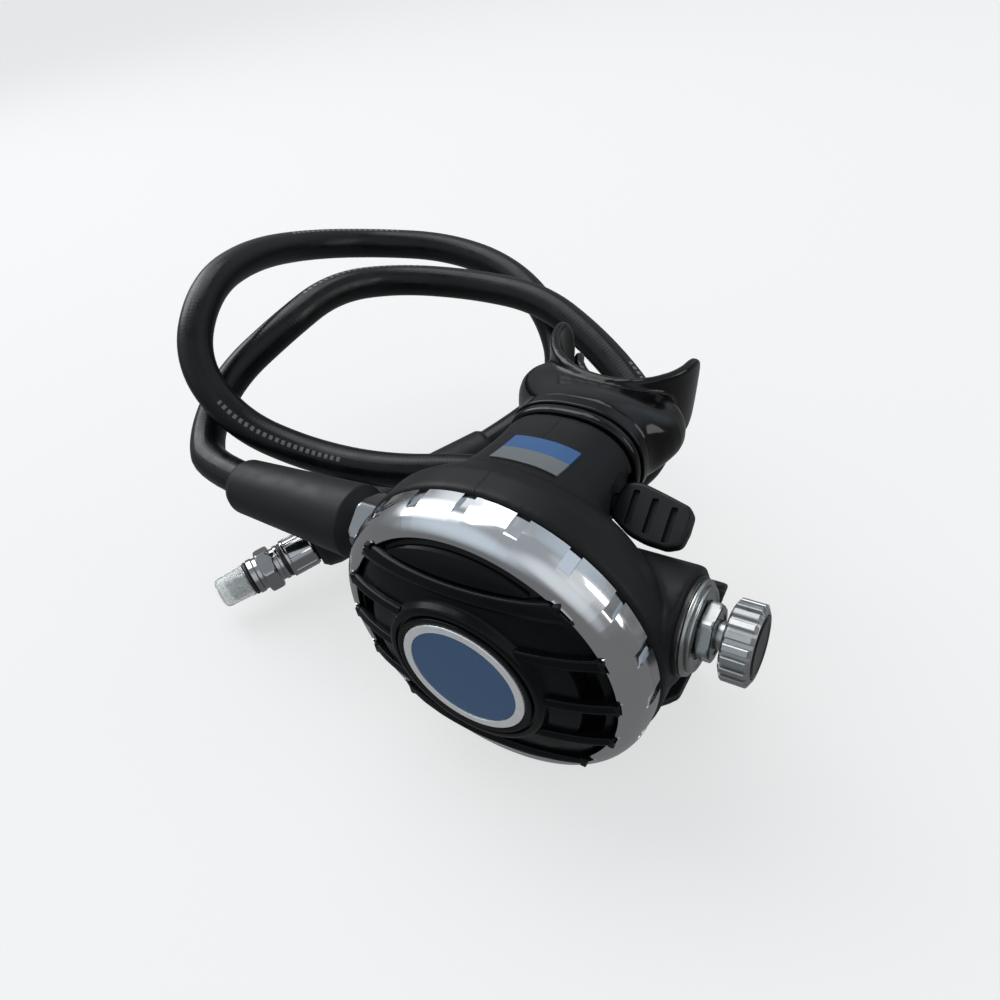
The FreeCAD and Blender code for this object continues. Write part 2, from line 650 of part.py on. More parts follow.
# Inlet orifice, poppet with its seat, and the poppet spring
ORIFICE_END = "-1 * (case_radius + left_stand) + orifice_length"
node(turned("inlet_orifice", [
    ("orifice_bore", "-1 * (case_radius + left_stand) - 0.5"),
    ("barrel_bore - barrel_fit", "-1 * (case_radius + left_stand) - 0.5"),
    ("barrel_bore - barrel_fit", ORIFICE_END + " - 2.5"), ("orifice_bore + 0.9", ORIFICE_END + " - 2"),
    ("orifice_bore + 0.3", ORIFICE_END), ("orifice_bore", ORIFICE_END)]), "inlet_orifice", ALONG, BARREL)
SEAT_X = ORIFICE_END + " + 0.3"
node(turned("poppet_seat", [
    ("0", SEAT_X), ("seat_radius", SEAT_X), ("seat_radius", SEAT_X + " + seat_thick"),
    ("0", SEAT_X + " + seat_thick")]),
    "poppet_seat", ALONG, BARREL)
COLLAR = "pivot_x + hub_radius + 0.3"
node(turned("poppet", [
    ("0", SEAT_X + " + seat_thick"), ("seat_radius + 0.02", SEAT_X + " + seat_thick"),
    ("seat_radius + 0.02", SEAT_X + " + 0.4"),
    ("poppet_head", SEAT_X + " + 0.4"), ("poppet_head", SEAT_X + " + 6"), ("poppet_rod", SEAT_X + " + 7.5"),
    ("poppet_rod", COLLAR), ("collar_radius", COLLAR), ("collar_radius", COLLAR + " + 2"),
    ("poppet_rod", COLLAR + " + 2"), ("poppet_rod", STEM_END + " - 1.0"), ("0", STEM_END + " - 1.0")]),
    "poppet", ALONG, BARREL)
SPRING_END = PAD_END + " - pad_thick - screw_pitch * screw_turns - 0.3"
node(turned("poppet_spring", [
    ("spring_radius - spring_wire", COLLAR + " + 2.9"), ("spring_radius", COLLAR + " + 2.9"),
    ("spring_radius", SPRING_END), ("spring_radius - spring_wire", SPRING_END)]),
    "poppet_spring", ALONG, BARREL)

# Demand lever on its pin: the arm reaches out to the plate, the forked heel pushes the collar
PIVOT_X = val("pivot_x")
PIVOT_Y = FACE + val("pivot_depth")
hub = val("hub_radius")
half = val("lever_width") / 2
thick = val("lever_thick")
tip_y = FACE + val("skirt_depth") + 0.05 + val("plate_thick") + 0.3 + thick / 2
arm_dx = PIVOT_X
arm_dy = PIVOT_Y - tip_y
reach = math.hypot(arm_dx, arm_dy)
arm = Part.makeBox(reach, thick, 2 * half, V(0, -thick / 2, -half))
arm.Placement = FreeCAD.Placement(V(PIVOT_X, PIVOT_Y, BARREL_Z),
                                  FreeCAD.Rotation(V(0, 0, 1), 180
                                                   + math.degrees(math.atan2(arm_dy, arm_dx))))
lever = arm.fuse(Part.makeCylinder(hub, 7.8, V(PIVOT_X, PIVOT_Y, BARREL_Z - 3.9)))
rod_gap = val("poppet_rod") + 0.6
for side in (-1, 1):
    low = BARREL_Z + (rod_gap if side > 0 else -3.9)
    heel = Part.makeBox(thick / 2 + hub, val("heel_length"), 3.9 - rod_gap,
                        V(PIVOT_X - thick / 2, PIVOT_Y, low))
    lever = lever.fuse(heel)
lever = lever.cut(Part.makeCylinder(val("pin_radius") + val("shaft_fit"), 20,
                                    V(PIVOT_X, PIVOT_Y, BARREL_Z - 10)))
lever = lever.cut(rod(rod_gap, PIVOT_X - 4, PIVOT_X + 4, BARREL_Y, BARREL_Z))
node(shaped("demand_lever", solid_of(lever)), "demand_lever")
pin_half = math.sqrt(val("barrel_radius") ** 2 - (BARREL_Y - PIVOT_Y) ** 2) - 0.4
node(shaped("lever_pin", Part.makeCylinder(val("pin_radius"), 2 * pin_half,
                                           V(PIVOT_X, PIVOT_Y, BARREL_Z - pin_half))), "lever_pin")

# Venturi lever outside the tube and its vane inside, on one shaft
tilt = FreeCAD.Rotation(V(1, 0, 0), val("paddle_tilt"))
wide = val("paddle_width")
long = val("paddle_length")
deep = val("paddle_thick")
plan = [(0, -0.21), (0.28, -0.43), (0.52, -0.51), (0.78, -0.53), (0.96, -0.44), (1.0, -0.21), (1.0, 0.02),
        (0.95, 0.21),
        (0.60, 0.35), (0.25, 0.46), (0.06, 0.40), (0, 0.20)]
plan = [V(x * long, y * wide, -deep / 2) for x, y in plan]
paddle = Part.Face(Part.makePolygon(plan + [plan[0]])).extrude(V(0, 0, deep))
paddle = paddle.makeFillet(1.2, [edge for edge in paddle.Edges if abs(edge.BoundBox.ZLength) < 1e-6])
for i in range(3):
    slot = Part.makeBox(1.6, wide * 0.6, 1.2, V(long * (0.2 + 0.26 * i), -wide * (0.3 + 0.07 * i),
                                                deep / 2 - 0.8))
    paddle = paddle.cut(slot)
paddle = paddle.fuse(Part.makeCylinder(val("venturi_shaft"), 10.5, V(-10.3, 0, 0), V(1, 0, 0)))
paddle.Placement = FreeCAD.Placement(V(PADDLE_X, VENT_Y, VENT_Z), tilt)
node(shaped("venturi_lever", solid_of(paddle)), "venturi_lever")
vane = Part.makeBox(val("vane_length"), val("vane_width"), 1.4,
                    V(-val("vane_length") / 2, -val("vane_width") / 2, -0.7))
vane = vane.fuse(Part.makeCylinder(1.9, val("vane_length"), V(-val("vane_length") / 2, 0, 0), V(1, 0, 0)))
gap = val("tube_half_width") - val("tube_wall")
vane_x = PADDLE_X - 10.3 - val("vane_length") / 2
vane.Placement = FreeCAD.Placement(V(vane_x, VENT_Y, VENT_Z), FreeCAD.Rotation(V(1, 0, 0), 8))
node(shaped("venturi_vane", solid_of(vane)), "venturi_vane")

# Exhaust valve over the port, and the tee that leads the bubbles out at both sides
node(shaped("exhaust_valve", Part.makeCylinder(val("valve_radius"), val("valve_thick"),
                                               V(0, PORT_BACK + 0.05, PORT_Z), V(0, 1, 0))),
     "exhaust_valve")


def across(profile, half_length):
    """Prism along X from a profile of (y, z) points."""
    points = [V(-half_length, y, z) for y, z in profile]
    return Part.Face(Part.makePolygon(points + [points[0]])).extrude(V(2 * half_length, 0, 0))


def bowl_room(grow):
    """Room that the case's bowl takes, grown evenly."""
    radius = "(case_radius + %s)" % grow
    back = "(case_depth + %s)" % grow
    return bowl([("0", "-1"), (radius, "-1"), (radius, "-1 * rim_depth"),
                 (radius + " - 2.4", "-1 * rim_depth - 5.2"),
                 (radius + " - 8", "-1 * rim_depth - 11.8"), (radius + " - 15.5", "-1 * %s + 1.2" % back),
                 (radius + " - 22", "-1 * %s" % back), ("0", "-1 * %s" % back)])


half_top = val("tee_half_top")
half_low = val("tee_half_bottom")
foot = val("tee_foot_half")
high = AXIS + val("tee_rise")
back = val("tee_back")
wall = val("tee_wall")
toe = FACE + val("tee_toe")
front = BARREL_Y + val("housing_radius") + 0.6
shoulder = PORT_Z + val("port_radius") + 1.2
outer_tee = [(toe, 0), (toe, 4.5), (-6, 11), (-1.4, 18), (-1.4, shoulder), (front, shoulder + 3),
             (front, high - 2), (front + 3, high),
             (back - 4, high), (back, high - 4), (back, 3), (back - 3, 0)]
inner_tee = [(toe + 5, wall), (-3.2, wall + 7), (wall - 1.4, 16.5), (wall - 1.4, shoulder - 1),
             (front + wall, shoulder + 2),
             (front + wall, high - wall - 1.2), (front + wall + 2, high - wall),
             (back - wall - 2.5, high - wall),
             (back - wall, high - wall - 2.5), (back - wall, wall + 1.6), (back - wall - 1.6, wall)]
tee = across(outer_tee, half_top).cut(bowl_room(0.3))
tee = tee.cut(across(inner_tee, half_top + 5).cut(bowl_room(0.3 + wall)))
for side in (-1, 1):
    wedge = [V(side * foot, -40, -1), V(side * foot, -40, 0), V(side * half_low, -40, 11),
             V(side * half_top, -40, high - 4), V(side * half_top, -40, high + 1),
             V(side * (half_top + 20), -40, high + 1), V(side * (half_top + 20), -40, -1)]
    tee = tee.cut(Part.Face(Part.makePolygon(wedge + [wedge[0]])).extrude(V(0, 90, 0)))
    mitre = math.radians(val("tee_mitre"))
    corner = V(side * (foot + 1.1), val("tee_mitre_y"), -1)
    away = [corner, corner + V(-side * 60 * math.cos(mitre), -60 * math.sin(mitre), 0),
            corner + V(side * 60, -60, 0), corner + V(side * 60 * math.cos(mitre), 60 * math.sin(mitre), 0)]
    tee = tee.cut(Part.Face(Part.makePolygon(away + [away[0]])).extrude(V(0, 0, high + 2)))
tee = tee.cut(Part.makeCylinder(val("port_radius"), 20, V(0, PORT_BACK - 12, PORT_Z), V(0, 1, 0)))
node(shaped("exhaust_tee", solid_of(tee)), "exhaust_tee")

# Mouthpiece: an oval neck over the spigot, a flange that wraps back and two bite lugs
MOUTH = TUBE_END + val("mouth_gap")
NECK = MOUTH + val("mouth_neck")
shift = val("mouth_shift")
flange_x = val("mouth_flange_shift")
mouth_wall = val("mouth_wall")
in_w = val("tube_half_width") - val("spigot_step") + 0.05
in_h = val("tube_half_height") - val("spigot_step") + 0.05
FR = val("mouth_flange_radius")
FW = val("mouth_flange_wall")
FH = val("mouth_flange_height")
neck = Part.makeLoft([oval(MOUTH, in_w + mouth_wall, in_h + mouth_wall, TUBE_Z),
                      oval(MOUTH + 9, in_w + mouth_wall, in_h + mouth_wall, TUBE_Z),
                      oval(NECK - 5, in_w + mouth_wall + val("mouth_bulge") - 1.4, in_h + mouth_wall + 0.5,
                           TUBE_Z, shift),
                      oval(NECK + 3, in_w + mouth_wall + val("mouth_bulge"), in_h + mouth_wall - 0.4,
                           TUBE_Z, (shift + flange_x) / 2),
                      oval(NECK + 8, in_w + mouth_wall + val("mouth_bulge") - 2.2, in_h + mouth_wall - 2.3,
                           TUBE_Z, flange_x * 0.8),
                      oval(NECK + 12, FR - 2.9, in_h + mouth_wall - 5.8, TUBE_Z, flange_x * 0.9)], True,
                      True)
FC = V(flange_x, NECK - 1 + FR, TUBE_Z - FH / 2)
lobe = val("mouth_flange_end")
lobe_y = FC.y + val("mouth_flange_reach") - lobe
lobe_turns = [math.radians(-90 + 15 * i) for i in range(13)]
side_view = [V(-60, NECK - 5, TUBE_Z - FH / 2)]
side_view += [V(-60, lobe_y + lobe * math.cos(a), TUBE_Z + FH / 2 * math.sin(a)) for a in lobe_turns]
side_view += [V(-60, NECK - 5, TUBE_Z + FH / 2)]
flange = Part.makeCylinder(FR, FH, FC)
flange = flange.common(Part.Face(Part.makePolygon(side_view + [side_view[0]])).extrude(V(120, 0, 0)))
hollow = Part.makeCylinder(FR - FW, FH + 10, V(FC.x, FC.y, FC.z - 5))
roll_centre = V(flange_x, 0, TUBE_Z)
for piece in (flange, hollow):
    piece.rotate(roll_centre, V(0, 1, 0), val("mouth_roll"))
mouth = neck.fuse(flange).cut(hollow)
bite_y = FC.y - 11.0
for side in (-1, 1):
    x = flange_x + side * (FR - FW / 2 - 5.4)
    lug = Part.makeBox(10.8, 6, val("bite_thick"), V(x - 5.4, bite_y, TUBE_Z - val("bite_thick") / 2))
    blade = Part.makeBox(val("bite_thick"), val("bite_length"), val("bite_height"),
                         V(x - side * 5.4 - val("bite_thick") / 2, bite_y, TUBE_Z - val("bite_height") / 2))
    for piece in (lug, blade):
        piece.rotate(roll_centre, V(0, 1, 0), val("mouth_roll"))
    mouth = mouth.fuse([lug, blade])
bore = Part.makeLoft([oval(MOUTH - 1, in_w, in_h, TUBE_Z), oval(SPIGOT_END + 0.2, in_w, in_h, TUBE_Z)],
                     True, True)
throat = Part.makeLoft([oval(SPIGOT_END, in_w - 3.4, in_h - 3.4, TUBE_Z),
                        oval(NECK, in_w - 3.4, in_h - 4.4, TUBE_Z, flange_x),
                        oval(NECK + 12, in_w - 3.4, in_h - 4.4, TUBE_Z, flange_x)], True, True)
mouth = mouth.cut(bore).cut(throat)
TIE = MOUTH + val("tie_inset")
TIE_W = val("tie_width")
tie_depth = 0.7
groove = Part.Face(oval(TIE, in_w + mouth_wall + 3, in_h + mouth_wall + 3,
                        TUBE_Z)).extrude(V(0, TIE_W + 0.4, 0))
groove = groove.cut(Part.Face(oval(TIE, in_w + mouth_wall - tie_depth, in_h + mouth_wall - tie_depth,
                                   TUBE_Z)).extrude(V(0, TIE_W + 0.4, 0)))
mouth = mouth.cut(groove)
node(shaped("mouthpiece", solid_of(mouth)), "mouthpiece")
tie_in = in_w + mouth_wall - tie_depth + 0.02
tie_in_h = in_h + mouth_wall - tie_depth + 0.02
tie_out = val("tie_thick")
tie = Part.Face(oval(TIE + 0.2, tie_in + tie_out, tie_in_h + tie_out, TUBE_Z)).extrude(V(0, TIE_W, 0))
tie = tie.cut(Part.Face(oval(TIE, tie_in, tie_in_h, TUBE_Z)).extrude(V(0, TIE_W + 1, 0)))
node(shaped("mouthpiece_tie", solid_of(tie)), "mouthpiece_tie")

# Swivel nut, hose stem with its ferrule, and the short hose guard, along -X from the housing
SWIVEL = "(case_radius + left_stand) + swivel_gap"
STEM = SWIVEL + " + swivel_length"
nut = doc.addObject("PartDesign::Body", "swivel_nut")
swivel_outline = sketch_on(nut, "swivel_outline", "XY_Plane", SWIVEL)
hexagon(swivel_outline, "swivel_flats")
pad(nut, "swivel_hex", swivel_outline, "swivel_length")
doc.recompute()
wide_bore = sketch_on(nut, "swivel_bore_outline", "XY_Plane", SWIVEL + " - 1")
circle(wide_bore, "inlet_radius + 0.06")
pocket(nut, "swivel_bore", wide_bore, "swivel_length - 1.4")
doc.recompute()
small_bore = sketch_on(nut, "swivel_neck_outline", "XY_Plane", SWIVEL)
circle(small_bore, "stem_radius + 0.3")
pocket(nut, "swivel_neck", small_bore, "swivel_length + 1")
node(nut, "swivel_nut", LEFTWARD, BARREL)
INLET_END = "(case_radius + left_stand) + inlet_length"
node(turned("hose_stem", [
    ("0", INLET_END + " + 0.1"), ("inlet_radius - 0.3", INLET_END + " + 0.1"),
    ("inlet_radius - 0.3", STEM + " - 2.7"), ("stem_radius", STEM + " - 2.7"),
    ("stem_radius", STEM + " + 0.5"),
    ("ferrule_radius", STEM + " + 0.5"), ("ferrule_radius", STEM + " + 0.5 + ferrule_length"),
    ("hose_radius", STEM + " + 0.5 + ferrule_length"), ("hose_radius", STEM + " + 4"),
    ("0", STEM + " + 4")]),
    "hose_stem", LEFTWARD, BARREL)
node(turned("inlet_o_ring", [
    ("1.6", INLET_END + " - 1.2"), ("barrel_bore - 1.5", INLET_END + " - 1.2"),
    ("barrel_bore - 1.5", INLET_END), ("1.6", INLET_END)]), "inlet_o_ring", LEFTWARD, BARREL)
GUARD = STEM + " + guard_gap"
node(turned("hose_guard", [
    ("ferrule_radius + hose_fit", GUARD), ("guard_big - guard_chamfer", GUARD),
    ("guard_big", GUARD + " + guard_chamfer"),
    ("guard_small", GUARD + " + guard_length - 2.5"), ("guard_small - 0.9",
                                                       GUARD + " + guard_length - 0.7"),
    ("guard_small - 2.2", GUARD + " + guard_length"), ("hose_radius + hose_fit", GUARD + " + guard_length"),
    ("hose_radius + hose_fit", STEM + " + 1 + ferrule_length"),
    ("ferrule_radius + hose_fit", STEM + " + 1 + ferrule_length")]), "hose_guard", LEFTWARD, BARREL)

# Hose: straight runs joined by tangent arcs along the route that the photograph shows
start_x = -(val(STEM) + 4)
ROUTE = [(-122, -11, 48.5), (-138, 2, 52), (-141, 22, 63), (-129, 43, 74), (-127, 70, 77), (-117, 95, 70),
         (-90, 107, 65),
         (-61, 108, 62), (-37, 100, 53), (-16, 89, 43), (0, 75, 35), (0, 54, 32), (-17, 38, 34),
         (-43, 31, 41),
         (-70, 17, 43), (-100, 12, 46), (-124, 6, 58), (-139, 9, 78), (-147, 31, 93), (-154, 59, 92),
         (-157, 90, 83),
         (-145, 118, 73), (-118, 131, 68), (-88, 129, 62), (-64, 118, 51), (-48, 98, 36), (-56, 74, 24),
         (-100, 0, 15)]
route = [V(start_x, BARREL_Y, BARREL_Z)] + [V(x, y, z) for x, y, z in ROUTE]
route[1] = V(route[1].x, BARREL_Y, BARREL_Z)


def path_of(points):
    """Wire of straight runs and tangent arcs, with the list of its radii and its length."""
    edges = []
    radii = []
    at = points[0]
    for i in range(1, len(points) - 1):
        back = points[i - 1] - points[i]
        ahead = points[i + 1] - points[i]
        reach = 0.45 * min(back.Length, ahead.Length)
        half_turn = (math.pi - back.getAngle(ahead)) / 2
        radius = reach / math.tan(half_turn)
        back.normalize()
        ahead.normalize()
        first = points[i] + back * reach
        last = points[i] + ahead * reach
        inward = back + ahead
        inward.normalize()
        middle = points[i] + inward * (radius / math.cos(half_turn) - radius)
        edges.append(Part.LineSegment(at, first).toShape())
        edges.append(Part.Arc(first, middle, last).toShape())
        radii.append(radius)
        at = last
    edges.append(Part.LineSegment(at, points[-1]).toShape())
    wire = Part.Wire(edges)
    return wire, radii


path, radii = path_of(route)
profile = Part.Wire([Part.makeCircle(val("hose_radius"), route[0], route[1] - route[0])])
hose = path.makePipeShell([profile], True, False)
expected = math.pi * val("hose_radius") ** 2 * path.Length
print("hose length %.1f, radii %s" % (path.Length, " ".join("%.0f" % r for r in radii)))
print("hose volume %.1f against %.1f" % (hose.Volume, expected))
node(shaped("hose_tube", hose), "hose_tube")

# Supply end of the hose: long guard, ferrule, fitting with its thread, and the thread cap.
# Their common axis runs on from the hose's last straight run.
end_point = route[-1]
run = route[-1] - route[-2]
run.normalize()
SUPPLY = FreeCAD.Rotation(V(0, 0, 1), run)


def at_supply(item, label):
    item.Label = label
    item.Placement = FreeCAD.Placement(end_point, SUPPLY)
    NODES.append(item)


at_supply(turned("long_hose_guard", [
    ("hose_radius + hose_fit", "-1 * long_guard_length"), ("long_guard_small - 1.4",
                                                           "-1 * long_guard_length"),
    ("long_guard_small", "-1 * long_guard_length + 2"), ("long_guard_big", "-6"),
    ("long_guard_big - 0.8", "-2.2"), ("long_guard_big - 2.4", "-0.4"),
    ("hose_radius + hose_fit", "-0.4")]),
    "long_hose_guard")
FERRULE = "supply_ferrule"
ferrule = turned("supply_ferrule_crimp", [
    ("0", "0"), ("ferrule_radius", "0"), ("ferrule_radius", FERRULE), ("0", FERRULE)])
doc.recompute()
crimp_outline = sketch_on(ferrule, "crimp_outline", "XY_Plane", "1.2")
outline(crimp_outline, [("ferrule_radius - 0.5", "-0.5"), ("ferrule_radius + 1", "-0.5"),
                        ("ferrule_radius + 1", "0.5"), ("ferrule_radius - 0.5", "0.5")])
crimp = pocket(ferrule, "crimp", crimp_outline, FERRULE + " - 2")
doc.recompute()
spread(ferrule, "crimps", crimp, "8")
at_supply(ferrule, "supply_ferrule")
at_supply(turned("ferrule_band", [
    ("0", FERRULE), ("ferrule_radius - 0.3", FERRULE), ("ferrule_radius - 0.3", FERRULE + " + band_thick"),
    ("0", FERRULE + " + band_thick")]), "ferrule_band")
REAR = FERRULE + " + band_thick"
HEX = REAR + " + fitting_rear"
FRONT = HEX + " + fitting_hex"
THREAD = FRONT + " + fitting_front"
fitting = turned("supply_fitting", [
    ("0", REAR), ("fitting_collar", REAR), ("fitting_collar", THREAD), ("thread_radius - 0.9", THREAD),
    ("thread_radius - 0.9", THREAD + " + 1.9"), ("thread_radius", THREAD + " + 2.4"),
    ("thread_radius", THREAD + " + thread_length - 0.6"), ("thread_radius - 0.6",
                                                           THREAD + " + thread_length"),
    ("0", THREAD + " + thread_length")])
doc.recompute()
fitting_outline = sketch_on(fitting, "fitting_outline", "XY_Plane", HEX)
hexagon(fitting_outline, "fitting_flats")
pad(fitting, "fitting_hexagon", fitting_outline, "fitting_hex")
doc.recompute()
flow = sketch_on(fitting, "flow_outline", "XY_Plane", REAR + " + 2")
circle(flow, "2.4")
pocket(fitting, "flow_bore", flow, "thread_length + fitting_front + fitting_hex + fitting_rear")
at_supply(fitting, "supply_fitting")
at_supply(turned("fitting_o_ring", [
    ("thread_radius - 0.88", THREAD + " + 0.05"), ("cap_radius - 0.5", THREAD + " + 0.05"),
    ("cap_radius - 0.1", THREAD + " + 0.5"), ("cap_radius - 0.1", THREAD + " + 1.2"),
    ("cap_radius - 0.5", THREAD + " + 2 * ring_wire - 0.1"),
    ("thread_radius - 0.88", THREAD + " + 2 * ring_wire - 0.1")]),
    "fitting_o_ring")
CAP = THREAD + " + 2 * ring_wire + 0.1"
at_supply(turned("thread_cap", [
    ("thread_radius + 0.08", CAP), ("cap_radius - 0.5", CAP), ("cap_radius - 0.1", CAP + " + 1"),
    ("cap_radius - 0.5", CAP + " + cap_length - 0.8"), ("cap_radius - 1.3", CAP + " + cap_length"),
    ("0", CAP + " + cap_length"), ("0", CAP + " + cap_length - cap_wall"),
    ("thread_radius + 0.08", CAP + " + cap_length - cap_wall")]), "thread_cap")

doc.recompute()
for item in doc.Objects:
    bad = [word for word in item.State if word in ("Invalid", "Error")]
    if bad:
        raise RuntimeError("%s is %s" % (item.Label, bad))
os.makedirs("parts", exist_ok=True)
for item in NODES:
    shape = item.Shape
    if shape.isNull() or not shape.isValid() or not shape.Solids:
        raise RuntimeError("%s has no valid solid" % item.Label)
    shape.exportStep("parts/%s.step" % item.Label)
    box = shape.BoundBox
    print("%-20s %9.1f mm3 %d  x %.1f..%.1f y %.1f..%.1f z %.1f..%.1f" % (
        item.Label, shape.Volume, len(shape.Solids), box.XMin, box.XMax, box.YMin, box.YMax, box.ZMin,
        box.ZMax))
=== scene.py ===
import math

import bmesh
import bpy
from mathutils import Matrix, Vector


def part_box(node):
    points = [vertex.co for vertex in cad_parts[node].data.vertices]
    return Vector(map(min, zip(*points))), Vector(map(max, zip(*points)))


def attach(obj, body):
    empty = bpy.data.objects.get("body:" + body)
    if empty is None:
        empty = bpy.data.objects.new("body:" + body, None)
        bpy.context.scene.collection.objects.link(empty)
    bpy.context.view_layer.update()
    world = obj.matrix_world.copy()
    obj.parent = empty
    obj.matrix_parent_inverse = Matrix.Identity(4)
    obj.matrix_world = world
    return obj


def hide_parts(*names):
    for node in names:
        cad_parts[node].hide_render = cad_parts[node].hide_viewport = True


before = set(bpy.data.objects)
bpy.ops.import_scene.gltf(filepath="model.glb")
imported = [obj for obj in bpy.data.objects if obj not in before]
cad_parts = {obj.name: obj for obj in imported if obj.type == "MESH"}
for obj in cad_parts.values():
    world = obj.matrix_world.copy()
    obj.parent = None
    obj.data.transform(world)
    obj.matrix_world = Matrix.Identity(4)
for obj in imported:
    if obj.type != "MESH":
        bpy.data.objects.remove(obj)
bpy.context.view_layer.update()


# Camera and studio. The photograph looks down on the ring from its right side with a wide lens.
# A pale floor and dome, a sky with soft glows and three soft boxes stand in for a white light tent.
def link(name, data):
    """Object of a mesh, curve, camera or light, in the scene."""
    item = bpy.data.objects.new(name, data)
    bpy.context.scene.collection.objects.link(item)
    return item


def studio_paper(name, grey, rough, glow):
    """Paper of a grey that also glows white by itself, so that nothing behind the object is dark."""
    material = bpy.data.materials.new(name)
    material.use_nodes = True
    shader = material.node_tree.nodes["Principled BSDF"]
    shader.inputs["Base Color"].default_value = (grey, grey, grey, 1)
    shader.inputs["Roughness"].default_value = rough
    shader.inputs["Specular IOR Level"].default_value = 0.0
    shader.inputs["Emission Color"].default_value = (1.0, 1.0, 1.0, 1)
    shader.inputs["Emission Strength"].default_value = glow
    return material


camera_data = bpy.data.cameras.new("camera")
camera_data.lens = 28.8
camera_data.sensor_width = 36.0
camera_data.clip_start = 0.01
camera = link("camera", camera_data)
right = Vector((0.84680, 0.51118, -0.14704))
down = Vector((0.22733, -0.59774, -0.76878))
ahead = Vector((-0.48088, 0.61758, -0.62238))
turn = Matrix((right, -down, -ahead)).transposed().to_4x4()
camera.matrix_world = Matrix.Translation((0.08790, -0.13084, 0.19297)) @ turn
bpy.context.scene.camera = camera

FLOOR_REACH = 9.0
floor_mesh = bpy.data.meshes.new("studio_floor")
floor_corners = [(FLOOR_REACH * x, FLOOR_REACH * y, 0) for x, y in ((-1, -1), (1, -1), (1, 1), (-1, 1))]
floor_mesh.from_pydata(floor_corners, [], [(0, 1, 2, 3)])
floor_mesh.materials.append(studio_paper("floor_paper", 0.17, 0.9, 0.65))
floor = link("studio_floor", floor_mesh)
floor.visible_glossy = False
bpy.context.scene.view_settings.view_transform = "Standard"

DOME_RADIUS = 8.8
DOME_FOOT = -0.3
dome_mesh = bpy.data.meshes.new("studio_dome")
dome_shape = bmesh.new()
bmesh.ops.create_uvsphere(dome_shape, u_segments=64, v_segments=32, radius=DOME_RADIUS)
bmesh.ops.delete(dome_shape, geom=[v for v in dome_shape.verts if v.co.z < DOME_FOOT], context="VERTS")
dome_shape.to_mesh(dome_mesh)
dome_shape.free()
dome_mesh.materials.append(studio_paper("dome_paper", 0.0, 0.5, 0.84))
dome = link("studio_dome", dome_mesh)
dome.visible_glossy = False
dome.visible_diffuse = False
dome.visible_shadow = False

surround = bpy.data.worlds.new("surround")
surround.use_nodes = True
sky = surround.node_tree
sky_coords = sky.nodes.new("ShaderNodeTexCoord")
sky_parts = sky.nodes.new("ShaderNodeSeparateXYZ")
sky.links.new(sky_coords.outputs["Generated"], sky_parts.inputs["Vector"])
sky_ramp = sky.nodes.new("ShaderNodeValToRGB")
sky_ramp.color_ramp.elements[0].position = 0.0
sky_ramp.color_ramp.elements[0].color = (0.22, 0.225, 0.23, 1)
sky_ramp.color_ramp.elements[1].position = 0.45
sky_ramp.color_ramp.elements[1].color = (0.46, 0.49, 0.52, 1)
sky.links.new(sky_parts.outputs["Z"], sky_ramp.inputs["Fac"])


def with_glow(sky_colour, direction, edge, tint):
    """Sky colour with a soft round glow added in a direction, as a lit screen gives; its output socket."""
    nearness = sky.nodes.new("ShaderNodeVectorMath")
    nearness.operation = "DOT_PRODUCT"
    sky.links.new(sky_coords.outputs["Generated"], nearness.inputs[0])
    nearness.inputs[1].default_value = Vector(direction).normalized()
    fade = sky.nodes.new("ShaderNodeMapRange")
    fade.interpolation_type = "SMOOTHERSTEP"
    fade.inputs["From Min"].default_value = edge
    fade.inputs["From Max"].default_value = 1.0
    sky.links.new(nearness.outputs["Value"], fade.inputs["Value"])
    glow = sky.nodes.new("ShaderNodeVectorMath")
    glow.operation = "SCALE"
    glow.inputs[0].default_value = tint
    sky.links.new(fade.outputs["Result"], glow.inputs["Scale"])
    total = sky.nodes.new("ShaderNodeVectorMath")
    total.operation = "ADD"
    sky.links.new(sky_colour, total.inputs[0])
    sky.links.new(glow.outputs["Vector"], total.inputs[1])
    return total.outputs["Vector"]


SKY_GLOWS = [
    ((-0.694, 0.193, 0.694), 0.80, (1.6, 1.62, 1.65)),
    ((-0.48, -0.70, 0.52), 0.70, (0.36, 0.43, 0.48)),
    ((0.60, -0.60, 0.53), 0.76, (0.50, 0.52, 0.54)),
    ((0.80, 0.15, 0.58), 0.88, (0.45, 0.45, 0.45)),
    ((0.41, 0.79, 0.46), 0.84, (0.30, 0.38, 0.46))]
lit_sky = sky_ramp.outputs["Color"]
for glow_direction, glow_edge, glow_tint in SKY_GLOWS:
    lit_sky = with_glow(lit_sky, glow_direction, glow_edge, glow_tint)
sky.links.new(lit_sky, sky.nodes["Background"].inputs["Color"])
sky.nodes["Background"].inputs["Strength"].default_value = 1.0
bpy.context.scene.world = surround


def soft_box(name, place, target, size, power, tint=(1, 1, 1)):
    """Rectangular area light at a place, aimed at a target."""
    light_data = bpy.data.lights.new(name, "AREA")
    light_data.shape = "RECTANGLE"
    light_data.size, light_data.size_y = size
    light_data.energy = power
    light_data.color = tint
    light = link(name, light_data)
    light.location = place
    light.rotation_euler = (Vector(target) - Vector(place)).to_track_quat("-Z", "Y").to_euler()


soft_box("top_box", (-0.45, 0.40, 1.40), (0, 0, 0.04), (1.3, 0.9), 12.0)
soft_box("left_box", (-1.20, 0.15, 0.90), (0, 0, 0.05), (0.8, 0.8), 7.0, (0.96, 0.98, 1.0))
soft_box("right_box", (1.10, 0.40, 0.40), (0, 0, 0.05), (0.35, 0.7), 2.5)


